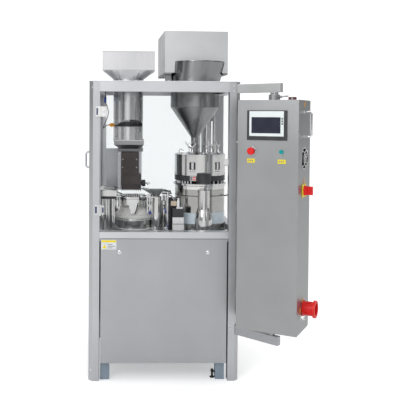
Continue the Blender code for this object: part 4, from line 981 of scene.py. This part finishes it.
def dressTable():
    px, py = -0.036, -0.11
    sleeve = turnedPart([(0.0335, 0.8006), (0.0335, 0.806), (0.031, 0.808), (0.031, 1.0), (0.027, 1.004),
                         (0.0182, 1.004),
                         (0.0182, 0.8006)], 32, True)
    addPiece("dischargeSleeve", placed(sleeve, (px, py, 0)), "mirrorSteel", "machine")
    apron = skin([[Vector(p) for p in ring] for ring in (
        ((-0.128, -0.157, 1.0515), (-0.079, -0.151, 1.044), (-0.079, -0.069, 1.044),
         (-0.118, -0.065, 1.0515)),
        ((-0.11, -0.15, 1.043), (-0.06, -0.134, 1.01), (-0.06, -0.086, 1.01), (-0.102, -0.075, 1.043)))])
    addPiece("dischargeApron", apron, "dullSteel", "machine", bevel=0.0008)
    clips = together(bar([(0.008, -0.15, 1.047), (0.04, -0.15, 1.038), (0.052, -0.144, 1.02)], 0.0036, 8),
                     slab((0.002, -0.166, 1.036), (0.048, -0.158, 1.043)),
                     slab((-0.004, -0.14, 1.02), (0.05, -0.118, 1.026)))
    addPiece("ejectorClips", clips, "black", "machine", bevel=0.001)
    rod = placed(turnedPart([(0.0095, 0.8006), (0.0095, 0.812), (0.0064, 0.814), (0.0064, 1.034),
                             (0.0095, 1.036), (0.0095, 1.044)], 18),
                 (0.03, -0.15, 0))
    addPiece("ejectorRod", rod, "chrome", "machine")
    rings = placed(turnedPart([(0.0066, 0.826), (0.0085, 0.8268), (0.0085, 0.8318), (0.0066, 0.8326)], 18,
                              True), (0.03, -0.15, 0))
    tap = bar([(0.005, -0.13, 0.93), (0.016, -0.132, 0.926), (0.022, -0.134, 0.905)], 0.0034, 8)
    addPiece("airFittings", together(rings, tap), "blue", "machine")
    motor = together(placed(turnedPart([(0.026, 0.8006), (0.026, 0.93), (0.022, 0.934), (0.022, 0.99),
            (0.01, 0.992)], 24), (0.056, -0.06, 0)),
                     slab((0.03, -0.112, 0.8006), (0.052, -0.08, 0.96)))
    addPiece("rejectValve", motor, "charcoal", "machine", bevel=0.0012)
    boxes = together(slab((0.056, -0.236, 0.8558), (0.122, -0.19, 0.8935)),
                     slab((0.056, -0.236, 0.81), (0.122, -0.19, 0.852)))
    addPiece("sensorBoxes", boxes, "boxWhite", "machine", bevel=0.002)
    stand = together(slab((0.06, -0.23, 0.8006), (0.118, -0.196, 0.8096)),
                     slab((0.06, -0.229, 0.8524), (0.118, -0.197, 0.8554)),
                     slab((0.056, -0.232, 0.894), (0.12, -0.192, 0.942)))
    addPiece("sensorStand", stand, "charcoal", "machine", bevel=0.0012)
    beige = slab((0.046, -0.214, 0.958), (0.08, -0.192, 0.985))
    addPiece("ceramicBlock", beige, "beige", "machine", bevel=0.0018)
    spout = together(placed(turnedPart([(0.0075, 0.9425), (0.0075, 0.986), (0.005, 0.992), (0.005, 1.004)],
            16), (0.0895, -0.206, 0)),
                     slab((0.078, -0.222, 0.9424), (0.112, -0.196, 0.95)))
    addPiece("vacuumSpout", spout, "boxWhite", "machine", bevel=0.001)
    hoses = [bar([(0.014, -0.096, 1.018), (0.05, -0.14, 1.01), (0.064, -0.18, 0.995), (0.066, -0.2, 0.985)],
                 0.0032, 8),
             bar([(0.106, -0.196, 0.93), (0.126, -0.17, 0.96), (0.11, -0.14, 0.985), (0.066, -0.11, 0.992)],
                 0.003, 8)]
    addPiece("airPipes", together(*hoses), "mirrorSteel", "machine")
    bolts = [((x, y, 0.8002), upward) for x in (-0.33, -0.01, 0.34) for y in (-0.3,)]
    bolts += [((x, 0.28, 0.8002), upward) for x in (-0.3, 0.0, 0.3)]
    addRows("tableBolts", "slottedScrew", bolts, {"Width": 0.0055, "Height": 0.003}, "chrome", "machine")


dressTable()
print("table dressed")


# ---------- dosing station ----------

def dressDosing():
    dx, dy, radius = 0.228, -0.05, 0.152
    dosing = inMachine @ Matrix.Translation((dx, dy, 0))
    windows = {"turns": (-21.5, 37.5), "half": 7.0, "z": (1.168, 1.212)}
    z0, z1 = windows["z"]
    half = windows["half"]
    # each window is an opaque dark pane with nothing behind it: its dark is painted shade of the inside
    panes = [band(radius + 0.0002, z0, z1, turn - half, turn + half, 0.0012, 8) for turn in windows["turns"]]
    addPiece("inspectionWindows", together(*panes), "screen", "tamping_body", dosing)
    # a bright steel strip down the middle of each window: a painted highlight, also standing for the inside
    # that shows through
    bars = [band(radius + 0.0012, z0 + 0.002, z1 - 0.002, turn - 2.4, turn + 2.8, 0.001,
                 4) for turn in windows["turns"]]
    addPiece("inspectionGlints", together(*bars), "mirrorSteel", "tamping_body", dosing)
    frames = []
    for turn in windows["turns"]:
        frames += [band(radius + 0.0003, z1, z1 + 0.004, turn - half - 1, turn + half + 1, 0.0028, 8),
                   band(radius + 0.0003, z0 - 0.004, z0, turn - half - 1, turn + half + 1, 0.0028, 8),
                   band(radius + 0.0003, z0, z1, turn - half - 1, turn - half, 0.0028, 2),
                   band(radius + 0.0003, z0, z1, turn + half, turn + half + 1, 0.0028, 2)]
    addPiece("inspectionFrames", together(*frames), "mirrorSteel", "tamping_body", dosing)

    def spot(turn, z, reach):
        a = radians(turn)
        return ((reach * sin(a), -reach * cos(a), z), (sin(a), -cos(a), 0))

    small = [spot(turn + step, z0 - 0.01, radius + 0.0006) for turn in windows["turns"] for step in (-5, 0,
            5)]
    small += [spot(turn, 1.14, radius + 0.0004) for turn in range(-160, 200, 40)]
    addRows("dosingCoverScrews", "slottedScrew", small, {"Width": 0.0026, "Height": 0.0016}, "black",
            "tamping_body", dosing)
    joint = turnedPart([(radius - 0.001, 1.249), (radius + 0.0022, 1.25), (radius + 0.0022, 1.256),
                        (radius - 0.003, 1.2568), (radius - 0.004, 1.2552)], 64, True)
    addPiece("dosingCoverRim", joint, "mirrorSteel", "tamping_body", dosing)
    seam = together(band(radius + 0.0001, 1.134, 1.249, 6.0, 6.8, 0.0006, 2),
                    band(radius + 0.0001, 1.134, 1.249, -64, -63.2, 0.0006, 2))
    addPiece("dosingCoverSeams", seam, "dullSteel", "tamping_body", dosing)

    card = band(radius + 0.0004, 1.103, 1.13, -27, -13.5, 0.001, 8)
    addPiece("bandCard", card, "cardWhite", "tamping_body", dosing)
    stripes = together(band(radius + 0.0014, 1.119, 1.1265, -20, -14.3, 0.0006, 6),
                       band(radius + 0.0014, 1.106, 1.1135, -20, -14.3, 0.0006, 6))
    addPiece("bandCardStripes", stripes, "red", "tamping_body", dosing)
    square = band(radius + 0.0014, 1.106, 1.127, -26.2, -21, 0.0006, 6)
    addPiece("bandCardSquare", square, "greyPlastic", "tamping_body", dosing)

    pins = [spot(turn, 1.092, 0.144)[0] for turn in [-74, -67, -60, -50, -42, -34, -26, 30, 44, 58,
            70] + list(range(90, 270, 15))]
    addRows("tampingPins", "pin", [(p, downward) for p in pins], {"Width": 0.0036, "Height": 0.015},
            "boxWhite", "tamping_body", dosing)
    ring = turnedPart([(radius + 0.005, 1.0745), (radius + 0.0085, 1.0755), (radius + 0.0085, 1.0815),
                       (radius + 0.005, 1.0825)], 64, True)
    addPiece("dosingBrightRing", ring, "chrome", "dosing_body", dosing)
    groove = [turnedPart([(0.1472, 1.0117), (0.1498, 1.0119), (0.1498, 1.0143), (0.1472, 1.0145)], 64, True)]
    addPiece("dosingGrooveRing", together(*groove), "black", "machine", dosing)
    film = together(band(0.1496, 0.848, 0.913, -47, -15, 0.0016, 18),
                    band(0.1496, 0.848, 0.913, 20, 78, 0.0016, 28))
    addPiece("dosingSplashBand", film, "frosted", "machine", dosing)
    lever = together(bar([(0.142, -0.06, 1.008), (0.153, -0.068, 1.01), (0.164, -0.076, 1.016)], 0.0036, 8))
    addPiece("dosingLever", lever, "black", "machine", dosing)
    feet = [spot(turn, 0.812, 0.1498) for turn in range(-150, 180, 30) if abs(turn - 5) > 26]
    addRows("dosingFootBolts", "slottedScrew", feet, {"Width": 0.0036, "Height": 0.0016}, "chrome", "machine",
            dosing)

    gx, gy = 0.239, -0.2
    lines = [placed(turnedPart([(r, z), (r + 0.0016, z + 0.0006), (r + 0.0016, z + 0.0034), (r, z + 0.004)],
                               40, True), (gx, gy, 0))
             for r, z in ((0.0362, 1.043), (0.0522, 0.806), (0.0522, 0.87))]
    lines.append(placed(turnedPart([(0.0424, 1.0868), (0.044, 1.0872), (0.044, 1.089), (0.0424, 1.0894)], 40,
                                   True), (gx, gy, 0)))
    addPiece("guideRings", together(*lines[:3]), "chrome", "machine")
    addPiece("guideBossRing", lines[3], "dullSteel", "tamping_body")

    clampSpots = ((0.16, -0.06, 20, 1.0), (0.177, -0.11, -30, 0.8), (0.262, -0.112, 35, 0.9),
                  (0.296, -0.078, -15, 1.12), (0.338, -0.07, 50, 1.0))
    studs, wings, boots = [], [], []
    for x, y, turn, size in clampSpots:
        studs.append(placed(turnedPart([(0.01, 1.2562), (0.01, 1.262), (0.007, 1.265), (0.0046, 1.27),
                (0.0046, 1.27 + 0.036 * size),
                                        (0.003, 1.272 + 0.036 * size)], 14), (x, y, 0)))
        top = 1.27 + 0.03 * size
        wings.append(placed(turnedPart([(0.007, top), (0.0082, top + 0.002), (0.0082, top + 0.009),
                (0.0055, top + 0.012)], 14), (x, y, 0)))
        for side in (-1, 1):
            wings.append(placed(bar([(0.006 * side, 0, top + 0.006), (0.015 * side, 0, top + 0.014),
                    (0.021 * side, 0, top + 0.022),
                                     (0.023 * side, 0, top + 0.028)], 0.0034, 8), (x, y, 0), turn))
        boots.append(placed(slab((-0.01, -0.022, 1.2562), (0.01, 0.012, 1.261)), (x, y, 0), turn))
    addPiece("clampStuds", together(*studs), "chrome", "tamping_body")
    addPiece("clampWings", together(*wings), "chrome", "tamping_body")
    addPiece("clampFeet", together(*boots), "mirrorSteel", "tamping_body", bevel=0.0012)
    eye = placed(bar([(0.0125 * cos(a), 0, 0.0125 * sin(a)) for a in [2 * pi * k / 20 for k in range(21)]],
                     0.003, 8), (0.11, -0.1, 1.273), 25)
    stalk = placed(turnedPart([(0.008, 1.2562), (0.008, 1.259), (0.0042, 1.2612), (0.0042, 1.264)], 14),
                   (0.11, -0.1, 0))
    addPiece("coverEye", together(eye, stalk), "chrome", "tamping_body")
    knobs = [placed(turnedPart([(0.004, 1.2562), (0.004, 1.261), (0.0085, 1.263), (0.0085, 1.269),
                                (0.006, 1.271)], 16), (x, y, 0))
             for x, y in ((0.236, -0.188), (0.35, -0.02), (0.205, 0.086))]
    addPiece("coverKnobs", together(*knobs), "chrome", "tamping_body")


dressDosing()
print("dosing station dressed")


# ---------- hoppers and hood ----------

def dressHoppers():
    px, py = 0.198, -0.018
    rings = [turnedPart([(r, z), (r + 0.002, z + 0.0008), (r + 0.002, z + h - 0.0008), (r, z + h)], 48, True)
             for r, z, h in ((0.148, 1.535, 0.005), (0.0218, 1.348, 0.006), (0.029, 1.293, 0.005))]
    addPiece("powderHopperBeads", placed(together(*rings), (px, py, 0)), "spunSteel", "machine")
    rimRing = turnedPart([(0.16, 1.806), (0.1622, 1.8068), (0.1622, 1.8112), (0.1582, 1.812),
                          (0.158, 1.8092)], 56, True)
    addPiece("powderHopperRim", placed(rimRing, (0.218, -0.018, 0)), "spunSteel", "machine")
    tie = together(bar([(0.272, 0.165, 1.27), (0.272, 0.165, 1.63)], 0.014, 16),
                   bar([(0.338, 0.15, 0.801), (0.338, 0.15, 1.615)], 0.012, 16),
                   bar([(0.24, 0.15, 0.801), (0.24, 0.15, 1.615)], 0.0085, 16))
    addPiece("guideTubes", tie, "mirrorSteel", "machine")
    collars = [placed(turnedPart([(0.0322, z), (0.04, z + 0.001), (0.04, z + 0.024), (0.0322, z + 0.025)], 28,
                                 True), (0.287, 0.165, 0))
               for z in (0.815, 1.575)]
    addPiece("columnCollars", together(*collars), "castSteel", "machine")

    cx, cy = -0.205, -0.07
    w, d = 0.153, 0.12
    edge = [bar([(cx - w, cy - d, z), (cx + w, cy - d, z), (cx + w, cy + d, z), (cx - w, cy + d, z),
                 (cx - w, cy - d, z)], 0.003, 8)
            for z in (1.8575,)]
    seam = bar([(cx - w, cy - d, 1.7505), (cx + w, cy - d, 1.7505), (cx + w, cy + d, 1.7505),
                (cx - w, cy + d, 1.7505),
                (cx - w, cy - d, 1.7505)], 0.0016, 8)
    collar = placed(turnedPart([(0.0884, 1.6815), (0.093, 1.6825), (0.093, 1.695), (0.0884, 1.696)], 40,
                               True), (-0.208, -0.07, 0))
    addPiece("capsuleHopperEdges", together(*edge, seam, collar), "hopperSteel", "machine")
    flangeScrews = [((-0.208 + 0.0965 * cos(a), -0.07 + 0.0965 * sin(a), 1.6802),
                     upward) for a in [2 * pi * (k + 0.5) / 8 for k in range(8)]]
    flangeScrews += [((px + 0.1545 * cos(a), py + 0.1545 * sin(a), 1.6802),
                      upward) for a in [2 * pi * (k + 0.5) / 10 for k in range(10)]]
    addRows("flangeScrews", "slottedScrew", flangeScrews, {"Width": 0.003, "Height": 0.0018}, "chrome",
            "machine")

    inHood = inMachine @ Matrix.Translation((0.187, 0.152, 0)) @ Matrix.Rotation(radians(3.2), 4, "Z")
    halfW, halfD, low, high = 0.191, 0.234, 1.743, 1.993
    seams = [slab((-halfW - 0.0005, halfD * 0.28, low), (-halfW, halfD * 0.28 + 0.0012, high)),
             slab((halfW, halfD * 0.28, low), (halfW + 0.0005, halfD * 0.28 + 0.0012, high))]
    addPiece("hoodSeams", together(*seams), "dullSteel", "machine", inHood)
    skirt = [slab((-halfW, -halfD + 0.0022, low - 0.01), (-0.15, halfD, low - 0.0004)),
             slab((-halfW, 0.12, low - 0.01), (halfW, halfD, low - 0.0004)),
             slab((halfW - 0.028, -halfD + 0.0022, low - 0.01), (halfW, halfD, low - 0.0004))]
    addPiece("hoodFlange", together(*skirt), "dullSteel", "machine", inHood, 0.001)
    strut = slab((-0.182, -0.205, 1.6768), (-0.15, -0.15, low - 0.0104))
    addPiece("hoodStrut", strut, "dullSteel", "machine", inHood, 0.0015)
    screws = [((x, y, z), toLeft if x < 0 else toRight) for x in (-halfW - 0.0002,
            halfW + 0.0002) for y in (-0.205, 0.0, 0.205) for z in (1.762, 1.974)]
    screws += [((x, halfD + 0.0002, z), toBack) for x in (-0.165, 0.165) for z in (1.762, 1.974)]
    addRows("hoodScrews", "slottedScrew", screws, {"Width": 0.0036, "Height": 0.0018}, "chrome", "machine",
            inHood)
    vents = [((-0.09, halfD + 0.0001, 1.8 + 0.02 * k), upward) for k in range(7)]
    addRows("hoodLouvres", "louvre", vents, {"Width": 0.005, "Length": 0.18}, "hoodSteel", "machine", inHood)


dressHoppers()
print("hoppers and hood dressed")


# ---------- smooth skins over the round parts ----------

def sleeveAround(path, count=96, thick=0.0009):
    inner = [(r - thick, z) for r, z in reversed(path)]
    return turnedPart(path + inner, count, True)


def dressRoundParts():
    powder = (0.198, -0.018, 0)
    cone = sleeveAround([(0.0218, 1.3072), (0.0218, 1.3535), (0.1483, 1.5368), (0.1483, 1.6715)])
    addPiece("powderHopperSkin", placed(cone, powder), "spunSteel", "machine")
    mouth = {"low": (0.1483, 1.6802, 0.198, -0.018), "high": (0.1603, 1.8088, 0.218, -0.018), "wall": 0.0009}
    loops = []
    for end, wall in (("low", 0), ("high", 0), ("high", mouth["wall"]), ("low", mouth["wall"])):
        r, z, x, y = mouth[end]
        loops.append([Vector((x + (r - wall) * cos(a), y + (r - wall) * sin(a),
                              z)) for a in [2 * pi * k / 96 for k in range(96)]])
    addPiece("powderMouthSkin", skin(loops, closed=False), "spunSteel", "machine")

    dosing = (0.228, -0.05, 0)
    casing = together(sleeveAround([(0.1493, 0.8012), (0.1493, 1.0105)]),
                      sleeveAround([(0.1493, 1.0155), (0.1493, 1.0498)]))
    addPiece("dosingCasingSkin", placed(casing, dosing), "casingSteel", "machine")
    column = sleeveAround([(0.0523, 0.8012), (0.0523, 0.875), (0.051, 0.885), (0.0473, 0.905), (0.042, 0.924),
                           (0.0383, 0.935),
                           (0.0363, 0.95), (0.0363, 1.0495)], 64)
    addPiece("guideColumnSkin", placed(column, (0.239, -0.2, 0)), "mirrorSteel", "machine")
    bowl = sleeveAround([(0.1573, 1.0735), (0.1573, 1.0838)])
    addPiece("dosingBowlSkin", placed(bowl, dosing), "mirrorSteel", "dosing_body")
    cover = sleeveAround([(0.1522, 1.1345), (0.1522, 1.249)])
    addPiece("dosingCoverSkin", placed(cover, dosing), "mirrorSteel", "tamping_body")
    plate = sleeveAround([(0.1522, 1.1003), (0.1522, 1.1317)])
    addPiece("tampingPlateSkin", placed(plate, dosing), "charcoal", "tamping_body")

    turret = (-0.167, -0.05, 0)
    drum = sleeveAround([(0.1123, 0.8012), (0.1123, 0.8718)])
    addPiece("turretDrumSkin", placed(drum, turret), "mirrorSteel", "machine")
    top = together(sleeveAround([(0.1183, 0.8742), (0.1183, 0.8916)]),
                   sleeveAround([(0.1122, 0.8958), (0.0745, 0.95)]))
    addPiece("turretConeSkin", placed(top, turret), "castSteel", "machine")
    tube = sleeveAround([(0.0882, 1.46), (0.0882, 1.6715)])
    addPiece("capsuleTubeSkin", placed(tube, (-0.208, -0.07, 0)), "tubeSteel", "machine")


dressRoundParts()
print("round parts smoothed")
